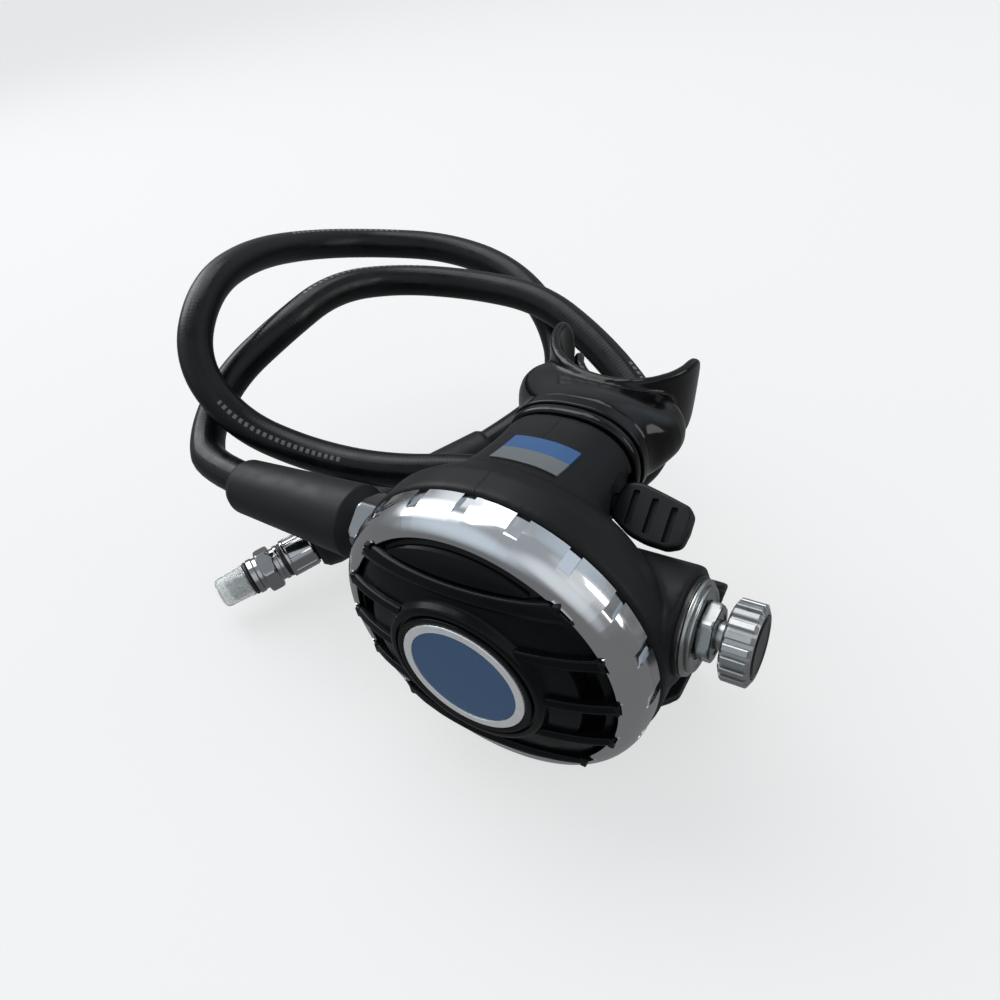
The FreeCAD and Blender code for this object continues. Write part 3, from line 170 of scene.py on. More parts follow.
# Hose: 11.5 mm rubber hose with a fine woven cover, one length of about 845 mm in a tight double loop.
# It leaves the short guard at the barrel and ends in the long guard at the supply fitting.
MM = 0.001
HOSE_RADIUS = 5.75 * MM
HOSE_ROUTE = [
    (-0.0581, -0.0110, 0.0485), (-0.1220, -0.0110, 0.0485), (-0.1380, 0.0020, 0.0520),
    (-0.1410, 0.0220, 0.0630),
    (-0.1290, 0.0430, 0.0740), (-0.1270, 0.0700, 0.0770), (-0.1170, 0.0950, 0.0700),
    (-0.0900, 0.1070, 0.0650),
    (-0.0610, 0.1080, 0.0620), (-0.0370, 0.1000, 0.0530), (-0.0160, 0.0890, 0.0430),
    (0.0000, 0.0750, 0.0350),
    (0.0000, 0.0540, 0.0320), (-0.0170, 0.0380, 0.0340), (-0.0430, 0.0310, 0.0410),
    (-0.0700, 0.0170, 0.0430),
    (-0.1000, 0.0120, 0.0460), (-0.1240, 0.0060, 0.0580), (-0.1390, 0.0090, 0.0780),
    (-0.1470, 0.0310, 0.0930),
    (-0.1540, 0.0590, 0.0920), (-0.1570, 0.0900, 0.0830), (-0.1450, 0.1180, 0.0730),
    (-0.1180, 0.1310, 0.0680),
    (-0.0880, 0.1290, 0.0620), (-0.0640, 0.1180, 0.0510), (-0.0480, 0.0980, 0.0360),
    (-0.0560, 0.0740, 0.0240),
    (-0.1000, 0.0000, 0.0150)]


def as_built(item):
    """Mesh of a piece with its modifiers worked out, or the points of a curve's line."""
    bpy.context.view_layer.update()
    return bpy.data.meshes.new_from_object(item.evaluated_get(bpy.context.evaluated_depsgraph_get()))


def smooth_line(route, name):
    """Points of the smooth line that a route's spline gives."""
    line = bpy.data.curves.new(name, "CURVE")
    line.dimensions = "3D"
    line.resolution_u = 12
    spline = line.splines.new("NURBS")
    spline.points.add(len(route) - 1)
    for point, place in zip(spline.points, route):
        point.co = (*place, 1)
    spline.order_u = 3
    spline.use_endpoint_u = True
    holder = link(name, line)
    mesh = as_built(holder)
    points = [v.co.copy() for v in mesh.vertices]
    bpy.data.meshes.remove(mesh)
    bpy.data.objects.remove(holder)
    bpy.data.curves.remove(line)
    return points


def hose_tube(name, points, radius, sides):
    """Round tube along points, with a UV map of metres along it and turns round it."""
    bm = bmesh.new()
    uv = bm.loops.layers.uv.new("along")
    last = len(points) - 1
    ways = [(points[min(i + 1, last)] - points[max(i - 1, 0)]).normalized() for i in range(last + 1)]
    side = ways[0].orthogonal().normalized()
    rings = []
    run = 0.0
    for i, point in enumerate(points):
        if i:
            run += (point - points[i - 1]).length
        side = (side - ways[i] * side.dot(ways[i])).normalized()
        up = ways[i].cross(side)
        ring = []
        for k in range(sides):
            angle = 2 * math.pi * k / sides
            ring.append(bm.verts.new(point + radius * (math.cos(angle) * side + math.sin(angle) * up)))
        rings.append((ring, run))
    for (low, start), (high, stop) in zip(rings, rings[1:]):
        for k in range(sides):
            m = (k + 1) % sides
            face = bm.faces.new((low[k], low[m], high[m], high[k]))
            face.smooth = True
            for loop, (along, turns) in zip(face.loops, ((start, k), (start, k + 1), (stop, k + 1),
                                                         (stop, k))):
                loop[uv].uv = (along, turns / sides)
    bm.faces.new(list(reversed(rings[0][0])))
    bm.faces.new(rings[-1][0])
    mesh = bpy.data.meshes.new(name)
    bm.to_mesh(mesh)
    bm.free()
    return link(name, mesh)


def finish(name, colour, rough, metal=0.0, mottle=0.15, mottle_size=7.0, spread=0.07, grain=0.012,
           grain_size=0.45,
           gleam=0.5):
    """Material whose colour and gloss drift over some millimetres, with a fine grain in millimetres."""
    material = bpy.data.materials.new(name)
    material.use_nodes = True
    nodes = material.node_tree.nodes
    links = material.node_tree.links
    shader = nodes["Principled BSDF"]
    shader.inputs["Metallic"].default_value = metal
    shader.inputs["Specular IOR Level"].default_value = gleam
    coords = nodes.new("ShaderNodeTexCoord")
    broad = nodes.new("ShaderNodeTexNoise")
    broad.name = "broad"
    broad.inputs["Scale"].default_value = 1000.0 / mottle_size
    broad.inputs["Detail"].default_value = 4.0
    links.new(coords.outputs["Object"], broad.inputs["Vector"])
    tint = nodes.new("ShaderNodeMix")
    tint.name = "tint"
    tint.data_type = "RGBA"
    tint.inputs["A"].default_value = (*[max(c * (1 - mottle), 0) for c in colour], 1)
    tint.inputs["B"].default_value = (*[min(c * (1 + mottle), 1) for c in colour], 1)
    links.new(broad.outputs["Fac"], tint.inputs["Factor"])
    links.new(tint.outputs["Result"], shader.inputs["Base Color"])
    gloss = nodes.new("ShaderNodeMapRange")
    gloss.inputs["From Min"].default_value = 0.3
    gloss.inputs["From Max"].default_value = 0.7
    gloss.inputs["To Min"].default_value = max(rough - spread, 0.02)
    gloss.inputs["To Max"].default_value = rough + spread
    links.new(broad.outputs["Fac"], gloss.inputs["Value"])
    links.new(gloss.outputs["Result"], shader.inputs["Roughness"])
    fine = nodes.new("ShaderNodeTexNoise")
    fine.name = "fine"
    fine.inputs["Scale"].default_value = 1000.0 / grain_size
    fine.inputs["Detail"].default_value = 2.0
    links.new(coords.outputs["Object"], fine.inputs["Vector"])
    bump = nodes.new("ShaderNodeBump")
    bump.name = "bump"
    bump.inputs["Strength"].default_value = 1.0
    bump.inputs["Distance"].default_value = grain * MM
    links.new(fine.outputs["Fac"], bump.inputs["Height"])
    links.new(bump.outputs["Normal"], shader.inputs["Normal"])
    return material


def dress(item, material, *nodes, body="case"):
    """Give a piece its material, the body that it moves with and the solids that it stands for."""
    item.data.materials.clear()
    item.data.materials.append(material)
    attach(item, body)
    if nodes:
        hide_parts(*nodes)
    return item


hose_line = smooth_line(HOSE_ROUTE, "hose_line")
hose = hose_tube("hose", hose_line, HOSE_RADIUS, 40)

WEAVE_PITCH = 2.6 * MM
WEAVE_STRANDS = 14
hose_cover = finish("hose_cover", (0.0034, 0.0037, 0.0042), 0.30, mottle=0.35, mottle_size=5.0, spread=0.08,
                    grain=0.004, grain_size=0.35, gleam=0.20)
nodes = hose_cover.node_tree.nodes
links = hose_cover.node_tree.links
hose_map = nodes.new("ShaderNodeUVMap")
hose_map.uv_map = "along"
apart = nodes.new("ShaderNodeSeparateXYZ")
links.new(hose_map.outputs["UV"], apart.inputs["Vector"])


def result_of(material, kind, first, second):
    """Math node of a kind whose inputs are sockets or numbers; its output socket."""
    maths = material.node_tree.nodes.new("ShaderNodeMath")
    maths.operation = kind
    for socket, value in zip(maths.inputs, (first, second)):
        if isinstance(value, (int, float)):
            socket.default_value = value
        else:
            material.node_tree.links.new(value, socket)
    return maths.outputs[0]


along = result_of(hose_cover, "MULTIPLY", apart.outputs["X"], 2 * math.pi / WEAVE_PITCH)
around = result_of(hose_cover, "MULTIPLY", apart.outputs["Y"], 2 * math.pi * WEAVE_STRANDS)
rising = result_of(hose_cover, "SINE", result_of(hose_cover, "ADD", along, around), 0)
falling = result_of(hose_cover, "SINE", result_of(hose_cover, "SUBTRACT", along, around), 0)
weave = result_of(hose_cover, "MULTIPLY", rising, falling)
strands = nodes.new("ShaderNodeBump")
strands.inputs["Strength"].default_value = 1.0
strands.inputs["Distance"].default_value = 0.011 * MM
links.new(weave, strands.inputs["Height"])
links.new(nodes["bump"].outputs["Normal"], strands.inputs["Normal"])
links.new(strands.outputs["Normal"], nodes["Principled BSDF"].inputs["Normal"])
DASH_TURN = 0.30
DASH_HALF = 0.75 * MM / (2 * math.pi * HOSE_RADIUS)
DASH_PITCH = 2.4 * MM
DASH_SHARE = 0.55
GROUP_PITCH = 60 * DASH_PITCH
GROUP_SHARE = 0.34
off_line = result_of(hose_cover, "ABSOLUTE", result_of(hose_cover, "SUBTRACT", apart.outputs["Y"],
                                                       DASH_TURN), 0)
on_line = result_of(hose_cover, "LESS_THAN", off_line, DASH_HALF)
dash_run = result_of(hose_cover, "FRACT", result_of(hose_cover, "DIVIDE", apart.outputs["X"], DASH_PITCH),
                     0)
on_dash = result_of(hose_cover, "LESS_THAN", dash_run, DASH_SHARE)
group_run = result_of(hose_cover, "FRACT", result_of(hose_cover, "DIVIDE", apart.outputs["X"], GROUP_PITCH),
                      0)
in_group = result_of(hose_cover, "LESS_THAN", group_run, GROUP_SHARE)
printed = result_of(hose_cover, "MULTIPLY", result_of(hose_cover, "MULTIPLY", on_line, on_dash), in_group)
ink = nodes.new("ShaderNodeMix")
ink.data_type = "RGBA"
ink.inputs["B"].default_value = (0.10, 0.104, 0.108, 1)
links.new(printed, ink.inputs["Factor"])
links.new(nodes["tint"].outputs["Result"], ink.inputs["A"])
links.new(ink.outputs["Result"], nodes["Principled BSDF"].inputs["Base Color"])
dress(hose, hose_cover, "hose_tube")


# Supply end of the hose: a long rubber guard, a ferrule with a black band, and a chromed fitting with a
# hexagon, an O-ring and a 3/8-24 thread under a push-on cap. Eight crimps hold the ferrule on the hose.
SUPPLY_WAY = Vector((-0.50831, -0.85488, -0.10397))
SUPPLY_PLACE = Matrix.Translation(Vector(HOSE_ROUTE[-1])) @ (
    Vector((0, 0, 1)).rotation_difference(SUPPLY_WAY).to_matrix().to_4x4())


def skinned(name, sections, place, closed=True):
    """Closed skin over rings of points in millimetres, moved to its place; faces run from ring to ring."""
    bm = bmesh.new()
    rings = [[bm.verts.new(place @ (Vector(point) * MM)) for point in section] for section in sections]
    pairs = list(zip(rings, rings[1:] + rings[:1])) if closed else list(zip(rings, rings[1:]))
    for first, second in pairs:
        for i in range(len(first)):
            j = (i + 1) % len(first)
            bm.faces.new((first[i], first[j], second[j], second[i]))
    if not closed:
        bm.faces.new(list(reversed(rings[0])))
        bm.faces.new(rings[-1])
    bmesh.ops.remove_doubles(bm, verts=bm.verts, dist=0.002 * MM)
    bmesh.ops.dissolve_degenerate(bm, edges=bm.edges, dist=0.001 * MM)
    bmesh.ops.recalc_face_normals(bm, faces=bm.faces)
    mesh = bpy.data.meshes.new(name)
    bm.to_mesh(mesh)
    bm.free()
    return link(name, mesh)


def shaded(item, angle=32):
    """Smooth shading that keeps creases over an angle sharp and flat faces flat."""
    for polygon in item.data.polygons:
        polygon.use_smooth = True
    item.data.set_sharp_from_angle(angle=math.radians(angle))
    item.modifiers.new("flats", "WEIGHTED_NORMAL").keep_sharp = True
    return item


def rounded(outline, steps=4):
    """Outline of (radius, height, corner radius) with its corners turned into arcs."""
    points = []
    count = len(outline)
    for i, (radius, height, bend) in enumerate(outline):
        here = Vector((radius, height))
        back = Vector(outline[i - 1][:2]) - here
        onward = Vector(outline[(i + 1) % count][:2]) - here
        if bend <= 0 or back.length < 1e-6 or onward.length < 1e-6:
            points.append(tuple(here))
            continue
        half = back.angle(onward) / 2
        reach = min(bend / math.tan(half), 0.48 * back.length, 0.48 * onward.length)
        bend = reach * math.tan(half)
        centre = here + (back.normalized() + onward.normalized()).normalized() * (bend / math.sin(half))
        first = here + back.normalized() * reach - centre
        last = here + onward.normalized() * reach - centre
        for k in range(steps + 1):
            points.append(tuple(centre + first.lerp(last, k / steps).normalized() * bend))
    return points


def turned(name, outline, place, sides=96, flats=None):
    """Piece turned round its place's Z axis from an outline of (radius, height, corner radius).
    With flats, what reaches past that width in millimetres is milled to a hexagon with softened corners."""
    line = rounded(outline)
    sections = []
    for k in range(sides):
        angle = 2 * math.pi * k / sides
        limit = math.inf
        if flats:
            leaning = (angle + math.pi / 6) % (math.pi / 3) - math.pi / 6
            limit = min(flats / 2 / math.cos(leaning), flats / 2 / math.cos(math.pi / 6) - 0.12)
        sections.append([(min(r, limit) * math.cos(angle), min(r, limit) * math.sin(angle), z) for r,
                         z in line])
    return shaded(skinned(name, sections, place))


def tree_of(name, inputs):
    """Empty geometry tree with a base piece, named inputs of (name, kind) and one output."""
    tree = bpy.data.node_groups.new(name, "GeometryNodeTree")
    tree.interface.new_socket("Base", in_out="INPUT", socket_type="NodeSocketGeometry")
    for label, kind in inputs:
        tree.interface.new_socket(label, in_out="INPUT", socket_type="NodeSocket" + kind)
    tree.interface.new_socket("Geometry", in_out="OUTPUT", socket_type="NodeSocketGeometry")
    return tree, tree.nodes.new("NodeGroupInput")


def close_tree(tree, start, grown_part):
    """End a tree: the base and what grew are joined, made real and given the material."""
    join = tree.nodes.new("GeometryNodeJoinGeometry")
    real = tree.nodes.new("GeometryNodeRealizeInstances")
    coat = tree.nodes.new("GeometryNodeSetMaterial")
    end = tree.nodes.new("NodeGroupOutput")
    tree.links.new(start.outputs["Base"], join.inputs["Geometry"])
    tree.links.new(grown_part, join.inputs["Geometry"])
    tree.links.new(join.outputs["Geometry"], real.inputs["Geometry"])
    tree.links.new(real.outputs["Geometry"], coat.inputs["Geometry"])
    tree.links.new(start.outputs["Material"], coat.inputs["Material"])
    tree.links.new(coat.outputs["Geometry"], end.inputs["Geometry"])


def grown(name, tree, base, place, **sizes):
    """Plain mesh piece that a tree grows from a base piece in its own frame, then moved to its place."""
    item = base or link(name, bpy.data.meshes.new(name))
    item.name = name
    item.modifiers.clear()
    modifier = item.modifiers.new("grow", "NODES")
    modifier.node_group = tree
    for socket in tree.interface.items_tree:
        label = socket.name.replace(" ", "_").lower()
        if socket.in_out == "INPUT" and label in sizes:
            modifier[socket.identifier] = sizes[label]
    mesh = as_built(item)
    item.modifiers.clear()
    item.data = mesh
    mesh.transform(place)
    return item


def copies_of_bar(tree, start):
    """Points of a tree, as many as its Count, and the node that sets its Bar on each of them."""
    spots = tree.nodes.new("GeometryNodeMeshLine")
    tree.links.new(start.outputs["Count"], spots.inputs["Count"])
    source = tree.nodes.new("GeometryNodeObjectInfo")
    tree.links.new(start.outputs["Bar"], source.inputs["Object"])
    copies = tree.nodes.new("GeometryNodeInstanceOnPoints")
    tree.links.new(spots.outputs["Mesh"], copies.inputs["Points"])
    tree.links.new(source.outputs["Geometry"], copies.inputs["Instance"])
    return spots, copies


# Tree: copies of a bar set round the Z axis.
round_tree, start = tree_of("bars_round_axis", [("Bar", "Object"), ("Count", "Int"),
                                                ("Material", "Material")])
spots, bars = copies_of_bar(round_tree, start)
spots.inputs["Offset"].default_value = (0, 0, 0)
number = round_tree.nodes.new("GeometryNodeInputIndex")
share = round_tree.nodes.new("ShaderNodeMath")
share.operation = "DIVIDE"
round_tree.links.new(number.outputs["Index"], share.inputs[0])
round_tree.links.new(start.outputs["Count"], share.inputs[1])
circle_angle = round_tree.nodes.new("ShaderNodeMath")
circle_angle.operation = "MULTIPLY"
circle_angle.inputs[1].default_value = 2 * math.pi
round_tree.links.new(share.outputs[0], circle_angle.inputs[0])
turn_by = round_tree.nodes.new("ShaderNodeCombineXYZ")
round_tree.links.new(circle_angle.outputs[0], turn_by.inputs["Z"])
round_tree.links.new(turn_by.outputs["Vector"], bars.inputs["Rotation"])
close_tree(round_tree, start, bars.outputs["Instances"])

# Tree: a round wire wound round the Z axis, as a spring or a thread.
coil_tree, start = tree_of("wound_wire", [("Turns", "Float"), ("Coil Radius", "Float"), ("Height", "Float"),
                                          ("Wire Radius", "Float"), ("Material", "Material")])
spiral = coil_tree.nodes.new("GeometryNodeCurveSpiral")
spiral.inputs["Resolution"].default_value = 32
coil_tree.links.new(start.outputs["Turns"], spiral.inputs["Rotations"])
coil_tree.links.new(start.outputs["Coil Radius"], spiral.inputs["Start Radius"])
coil_tree.links.new(start.outputs["Coil Radius"], spiral.inputs["End Radius"])
coil_tree.links.new(start.outputs["Height"], spiral.inputs["Height"])
wire_ring = coil_tree.nodes.new("GeometryNodeCurvePrimitiveCircle")
wire_ring.inputs["Resolution"].default_value = 8
coil_tree.links.new(start.outputs["Wire Radius"], wire_ring.inputs["Radius"])
wire = coil_tree.nodes.new("GeometryNodeCurveToMesh")
wire.inputs["Fill Caps"].default_value = True
coil_tree.links.new(spiral.outputs["Curve"], wire.inputs["Curve"])
coil_tree.links.new(wire_ring.outputs["Curve"], wire.inputs["Profile Curve"])
close_tree(coil_tree, start, wire.outputs["Mesh"])


def bar(name, inner, outer, half_width, low, high, run_out, edge):
    """Ridge along Z at +X, with softened edges and sloped ends, for a tree to repeat; deleted after use."""
    def section(z, reach):
        side = min(edge, max(reach - inner, 0.01) * 0.5)
        return [(inner, -half_width, z), (reach - side, -half_width, z), (reach, -half_width + side, z),
                (reach, half_width - side, z), (reach - side, half_width, z), (inner, half_width, z)]
    sections = [section(low, inner + 0.03), section(low + run_out, outer), section(high - run_out, outer),
                section(high, inner + 0.03)]
    return skinned(name, sections, Matrix.Identity(4), closed=False)


HERE = Matrix.Identity(4)
dark_chrome = finish("dark_chrome", (0.36, 0.365, 0.37), 0.13, metal=1.0, mottle=0.06, mottle_size=6.0,
                     spread=0.05,
                     grain=0.002, grain_size=0.5)
guard_rubber = finish("guard_rubber", (0.0078, 0.0083, 0.0088), 0.46, mottle=0.18, mottle_size=6.0,
                      spread=0.08,
                      grain=0.020, grain_size=0.33, gleam=0.18)
seal_rubber = finish("seal_rubber", (0.007, 0.007, 0.0075), 0.35, mottle=0.2, mottle_size=3.0, spread=0.08,
                     grain=0.006, grain_size=0.3, gleam=0.4)

long_guard = turned("supply_guard", [(5.8, -73.0, 0), (7.7, -73.0, 0.8), (8.6, -71.2, 1.4),
                                     (9.5, -38.0, 40.0),
                                     (10.2, -6.0, 2.5), (9.4, -2.2, 1.2), (7.8, -0.4, 0.4), (5.8, -0.4, 0)],
                                     SUPPLY_PLACE)
dress(long_guard, guard_rubber, "long_hose_guard")

ferrule_core = turned("ferrule_core", [(5.85, 0.0, 0), (6.4, 0.0, 0.2), (6.62, 0.8, 0.3), (6.62, 8.6, 0.2),
                                       (6.85, 8.9, 0.15),
                                       (6.85, 9.95, 0.25), (3.0, 9.95, 0), (3.0, 9.0, 0), (5.85, 9.0, 0)],
                                       HERE)
crimp = bar("crimp", 6.4, 6.9, 0.42, 0.5, 9.0, 0.35, 0.18)
ferrule = grown("hose_ferrule", round_tree, ferrule_core, SUPPLY_PLACE, bar=crimp, count=8,
                material=dark_chrome)
bpy.data.objects.remove(crimp)
dress(shaded(ferrule, 30), dark_chrome, "supply_ferrule")

band = turned("ferrule_gap_band", [(3.0, 10.0, 0), (6.2, 10.0, 0.25), (6.2, 11.0, 0.25), (3.0, 11.0, 0)],
              SUPPLY_PLACE)
dress(band, seal_rubber, "ferrule_band")

fitting_core = turned("fitting_core", [
    (0, 11.0, 0), (5.9, 11.0, 0.2), (6.3, 11.5, 0.3), (6.3, 12.5, 0.2), (5.95, 12.7, 0.1),
    (5.95, 14.1, 0.1), (7.0, 14.2, 0.1),
    (7.7, 14.45, 0.6), (8.26, 15.4, 0.9), (8.26, 18.0, 0.9), (7.7, 18.95, 0.6), (7.0, 19.2, 0.1),
    (5.95, 19.3, 0.1),
    (5.95, 20.5, 0.2), (6.3, 20.9, 0.2), (6.3, 22.6, 0.15), (4.2, 22.6, 0.1), (4.2, 24.6, 0.1),
    (4.45, 25.0, 0.1),
    (4.38, 31.0, 0.2), (3.7, 31.6, 0.15), (2.3, 31.6, 0.15), (2.3, 28.5, 0), (0, 28.5, 0)], HERE,
    flats=14.3)
THREAD_FOOT = 25.2 * MM
fitting_core.data.transform(Matrix.Translation((0, 0, -THREAD_FOOT)))
fitting_place = (SUPPLY_PLACE @ Matrix.Translation((0, 0, THREAD_FOOT))
                 @ Matrix.Rotation(math.radians(24), 4, "Z"))
fitting = grown("supply_nipple", coil_tree, fitting_core, fitting_place,
                turns=5.2, coil_radius=4.32 * MM, height=5.5 * MM, wire_radius=0.42 * MM,
                material=dark_chrome)
dress(shaded(fitting, 30), dark_chrome, "supply_fitting")

fitting_ring = turned("nipple_o_ring", [(4.22, 22.64, 0.4), (6.05, 22.64, 0.8), (6.05, 24.3, 0.8),
                                        (4.22, 24.3, 0.4)], SUPPLY_PLACE)
dress(fitting_ring, seal_rubber, "fitting_o_ring")

frosted_cap = finish("frosted_cap", (0.80, 0.83, 0.83), 0.26, mottle=0.04, mottle_size=4.0, spread=0.06,
                     grain=0.003, grain_size=0.4)
cap_shader = frosted_cap.node_tree.nodes["Principled BSDF"]
cap_shader.inputs["Transmission Weight"].default_value = 0.80
cap_shader.inputs["IOR"].default_value = 1.35
cap = turned("push_on_cap", [(4.9, 24.45, 0.1), (5.8, 24.45, 0.25), (5.72, 25.4, 0.2), (5.5, 25.7, 0.3),
                             (5.2, 34.9, 1.7), (0, 34.9, 0),
                             (0, 33.9, 0), (4.2, 33.9, 0.9), (4.85, 32.0, 0.5)], SUPPLY_PLACE)
dress(cap, frosted_cap, "thread_cap", body="cap")


# Cover ring: chromed brass, 84 mm across, with twenty milled notches in its brushed edge.
# It screws into the case and clamps the diaphragm; five pairs of slots in its lip take the cover's ribs.
COVER_PLACE = Matrix.Translation((0, -0.030, 0.046)) @ Matrix.Rotation(math.radians(90), 4, "X")
RIB_HEIGHTS = (27.0, 13.8, 0.6, -12.6, -25.8)
SLOT_HALF = 1.9
SLOT_REACH = 37.5
RING_BORE = 36.0
NOTCH_COUNT = 20
NOTCH_HALF = math.asin(1.6 / 41.4)
EDGE_RADIUS = 41.5
EDGE_TOP = 1.05
RING_FACE = [(36.0, 6.7), (36.04, 7.3), (36.2, 7.7), (36.55, 7.9), (37.2, 7.82), (37.9, 7.58), (38.6, 7.2),
             (39.25, 6.75),
             (39.9, 6.15), (40.45, 5.45), (40.92, 4.65), (41.3, 3.8), (41.6, 2.95), (41.8, 2.25),
             (41.9, 1.6), (42.0, 1.1),
             (42.0, 0.2), (42.0, -2.45), (41.75, -2.8)]
NOTCHED_FACE = RING_FACE[:12] + [(41.42, 2.95), (41.26, 2.0), (41.2, 1.4), (41.16, 1.0), (41.12, 0.2),
                                 (41.12, -2.6), (41.0, -2.8)]
SLOTTED_LIP = [(36.0, 3.4), (36.4, 3.4), (37.0, 3.4), (37.44, 3.4), (37.5, 7.96)]
RING_BACK = [(39.4, -2.8), (39.4, -5.0), (37.2, -5.0), (37.2, 0.0), (36.0, 0.0)]

slot_edges = []
for rib_height in RIB_HEIGHTS:
    for edge in (rib_height - SLOT_HALF, rib_height + SLOT_HALF):
        slot_edges.append((math.asin(edge / SLOT_REACH), edge, 1))
        slot_edges.append((math.pi - math.asin(edge / SLOT_REACH), edge, -1))
slot_edges = sorted((angle % (2 * math.pi), edge, side) for angle, edge, side in slot_edges)


def at_radius(angle, radius):
    """Angle that a station of the ring has at a radius, so that the slots' walls stay parallel."""
    radius = min(max(radius, RING_BORE), SLOT_REACH)
    knots = []
    for station, edge, side in slot_edges:
        local = math.asin(edge / radius)
        local = local if side > 0 else math.pi - local
        knots.append((station, station + ((local - station + math.pi) % (2 * math.pi) - math.pi)))
    knots = [(knots[-1][0] - 2 * math.pi, knots[-1][1] - 2 * math.pi)] + knots + [
        (knots[0][0] + 2 * math.pi, knots[0][1] + 2 * math.pi)]
    angle %= 2 * math.pi
    for (a, b), (c, d) in zip(knots, knots[1:]):
        if a <= angle <= c:
            return b + (d - b) * (angle - a) / (c - a)
    return angle


def ring_section(angle):
    """Ring's outline at an angle, as points in the ring's own frame."""
    turns = angle * NOTCH_COUNT / (2 * math.pi)
    notched = abs(turns - round(turns)) * 2 * math.pi / NOTCH_COUNT < NOTCH_HALF
    near = math.sin(angle) * SLOT_REACH
    slotted = any(abs(near - rib) < SLOT_HALF for rib in RIB_HEIGHTS)
    outline = list(NOTCHED_FACE if notched else RING_FACE)
    if slotted:
        outline[:5] = SLOTTED_LIP
    section = []
    for radius, height in outline + RING_BACK:
        local = at_radius(angle, radius)
        section.append((radius * math.cos(local), radius * math.sin(local), height))
    return section


HAIR = 0.0004


def in_turn(stations):
    """Angles in order round a circle, without those that stand within half a hair of the next."""
    stations = sorted(station % (2 * math.pi) for station in stations)
    return [a for a, b in zip(stations, stations[1:] + [9.0]) if b - a > HAIR / 2]


ring_stations = [math.radians(2.25 * i) for i in range(160)]
for i in range(NOTCH_COUNT):
    for edge in (-NOTCH_HALF, NOTCH_HALF):
        ring_stations += [2 * math.pi * i / NOTCH_COUNT + edge - HAIR, 2 * math.pi * i / NOTCH_COUNT + edge
                          + HAIR]
for station, edge, side in slot_edges:
    ring_stations += [station - HAIR, station + HAIR]
cover_ring = shaded(skinned("ring", [ring_section(station) for station in in_turn(ring_stations)],
                            COVER_PLACE), 28)

brushed_chrome = finish("brushed_chrome", (0.52, 0.53, 0.54), 0.20, metal=1.0, mottle=0.05, mottle_size=3.0,
                        spread=0.04, grain=0.0015, grain_size=0.25)
polished_chrome = finish("polished_chrome", (0.60, 0.61, 0.625), 0.11, metal=1.0, mottle=0.03,
                         mottle_size=14.0,
                         spread=0.03, grain=0.0008, grain_size=0.9)
dress(cover_ring, polished_chrome, "cover_ring")
cover_ring.data.materials.append(brushed_chrome)
for polygon in cover_ring.data.polygons:
    away = COVER_PLACE.inverted() @ polygon.center / MM
    if away.z < EDGE_TOP and math.hypot(away.x, away.y) > EDGE_RADIUS:
        polygon.material_index = 1


# Purge cover: black moulded plastic, a domed shell with a stepped boss, five cross ribs whose square heads
# lie in the ring's slots, a crescent panel above them and four vents. It is pressed to purge.
COVER_RADIUS = 35.7
VENT_INNER, VENT_OUTER = 29.0, 33.7
VENT_DEPTH = 4.2
VENT_SIDE = 31.0
DOME = [(0.0, 12.0), (22.3, 11.85), (24.0, 11.55), (26.5, 11.0), (29.0, 10.3), (31.5, 9.35), (33.7, 8.25),
        (35.0, 7.2), (35.7, 6.2)]
RIB_CREST = [(0.0, 13.9), (21.4, 13.75), (25.5, 12.95), (29.7, 11.8), (33.3, 10.55), (36.4, 9.15),
             (37.3, 8.6)]


def level(line, radius):
    """Height of a line of (radius, height) points at a radius."""
    for (a, b), (c, d) in zip(line, line[1:]):
        if radius <= c:
            return b + (d - b) * (radius - a) / (c - a)
    return line[-1][1]


def cover_section(angle):
    """Cover's outline at an angle: boss, dome with its vents, wall and inside."""
    vent = 0.0
    across = math.sin(angle) * VENT_SIDE
    if RIB_HEIGHTS[3] < across < RIB_HEIGHTS[1]:
        vent = VENT_DEPTH
    top = [(0.0, 13.2), (16.0, 13.2), (16.85, 13.2), (16.85, 14.3), (16.95, 14.6), (17.2, 14.78),
           (18.2, 14.8), (18.45, 14.72),
           (18.55, 14.5), (18.6, 13.7), (19.15, 13.7), (19.2, 14.2), (19.3, 14.42), (19.55, 14.5),
           (20.4, 14.45),
           (20.95, 14.25), (21.25, 13.85), (21.6, 12.75), (21.85, 12.2), (22.3, 11.85)]
    dome = [(r, level(DOME, r)) for r in (24.0, 26.5, 28.0, VENT_INNER - 0.2)]
    dome += [(VENT_INNER, level(DOME, VENT_INNER) - (0.25 if vent else 0)),
             (VENT_INNER + 0.25, level(DOME, VENT_INNER + 0.25) - vent),
             (31.2, level(DOME, 31.2) - vent), (VENT_OUTER - 0.25, level(DOME, VENT_OUTER - 0.25) - vent),
             (VENT_OUTER, level(DOME, VENT_OUTER) - (0.25 if vent else 0)),
             (VENT_OUTER + 0.25, level(DOME, VENT_OUTER + 0.25))]
    dome += [(34.5, level(DOME, 34.5)), (35.2, 6.95), (35.55, 6.5), (COVER_RADIUS, 6.0)]
    inside = [(COVER_RADIUS, -1.5), (33.7, -1.5), (33.5, 1.6), (28.0, 3.0), (24.0, 7.4), (19.4, 9.8),
              (19.0, 10.6), (4.0, 10.6),
              (4.0, -4.4), (3.7, -4.7), (0.0, -4.7)]
    return [(r * math.cos(angle), r * math.sin(angle), z) for r, z in top + dome + inside]


vent_edges = [math.asin(RIB_HEIGHTS[n] / VENT_SIDE) for n in (3, 1)]
vent_edges += [math.pi - edge for edge in vent_edges]
cover_stations = [math.radians(1.5 * i) for i in range(240)]
cover_stations += [edge + step for edge in vent_edges for step in (-HAIR, HAIR)]
purge_cover = shaded(skinned("cover", [cover_section(station) for station in in_turn(cover_stations)],
                             COVER_PLACE), 40)

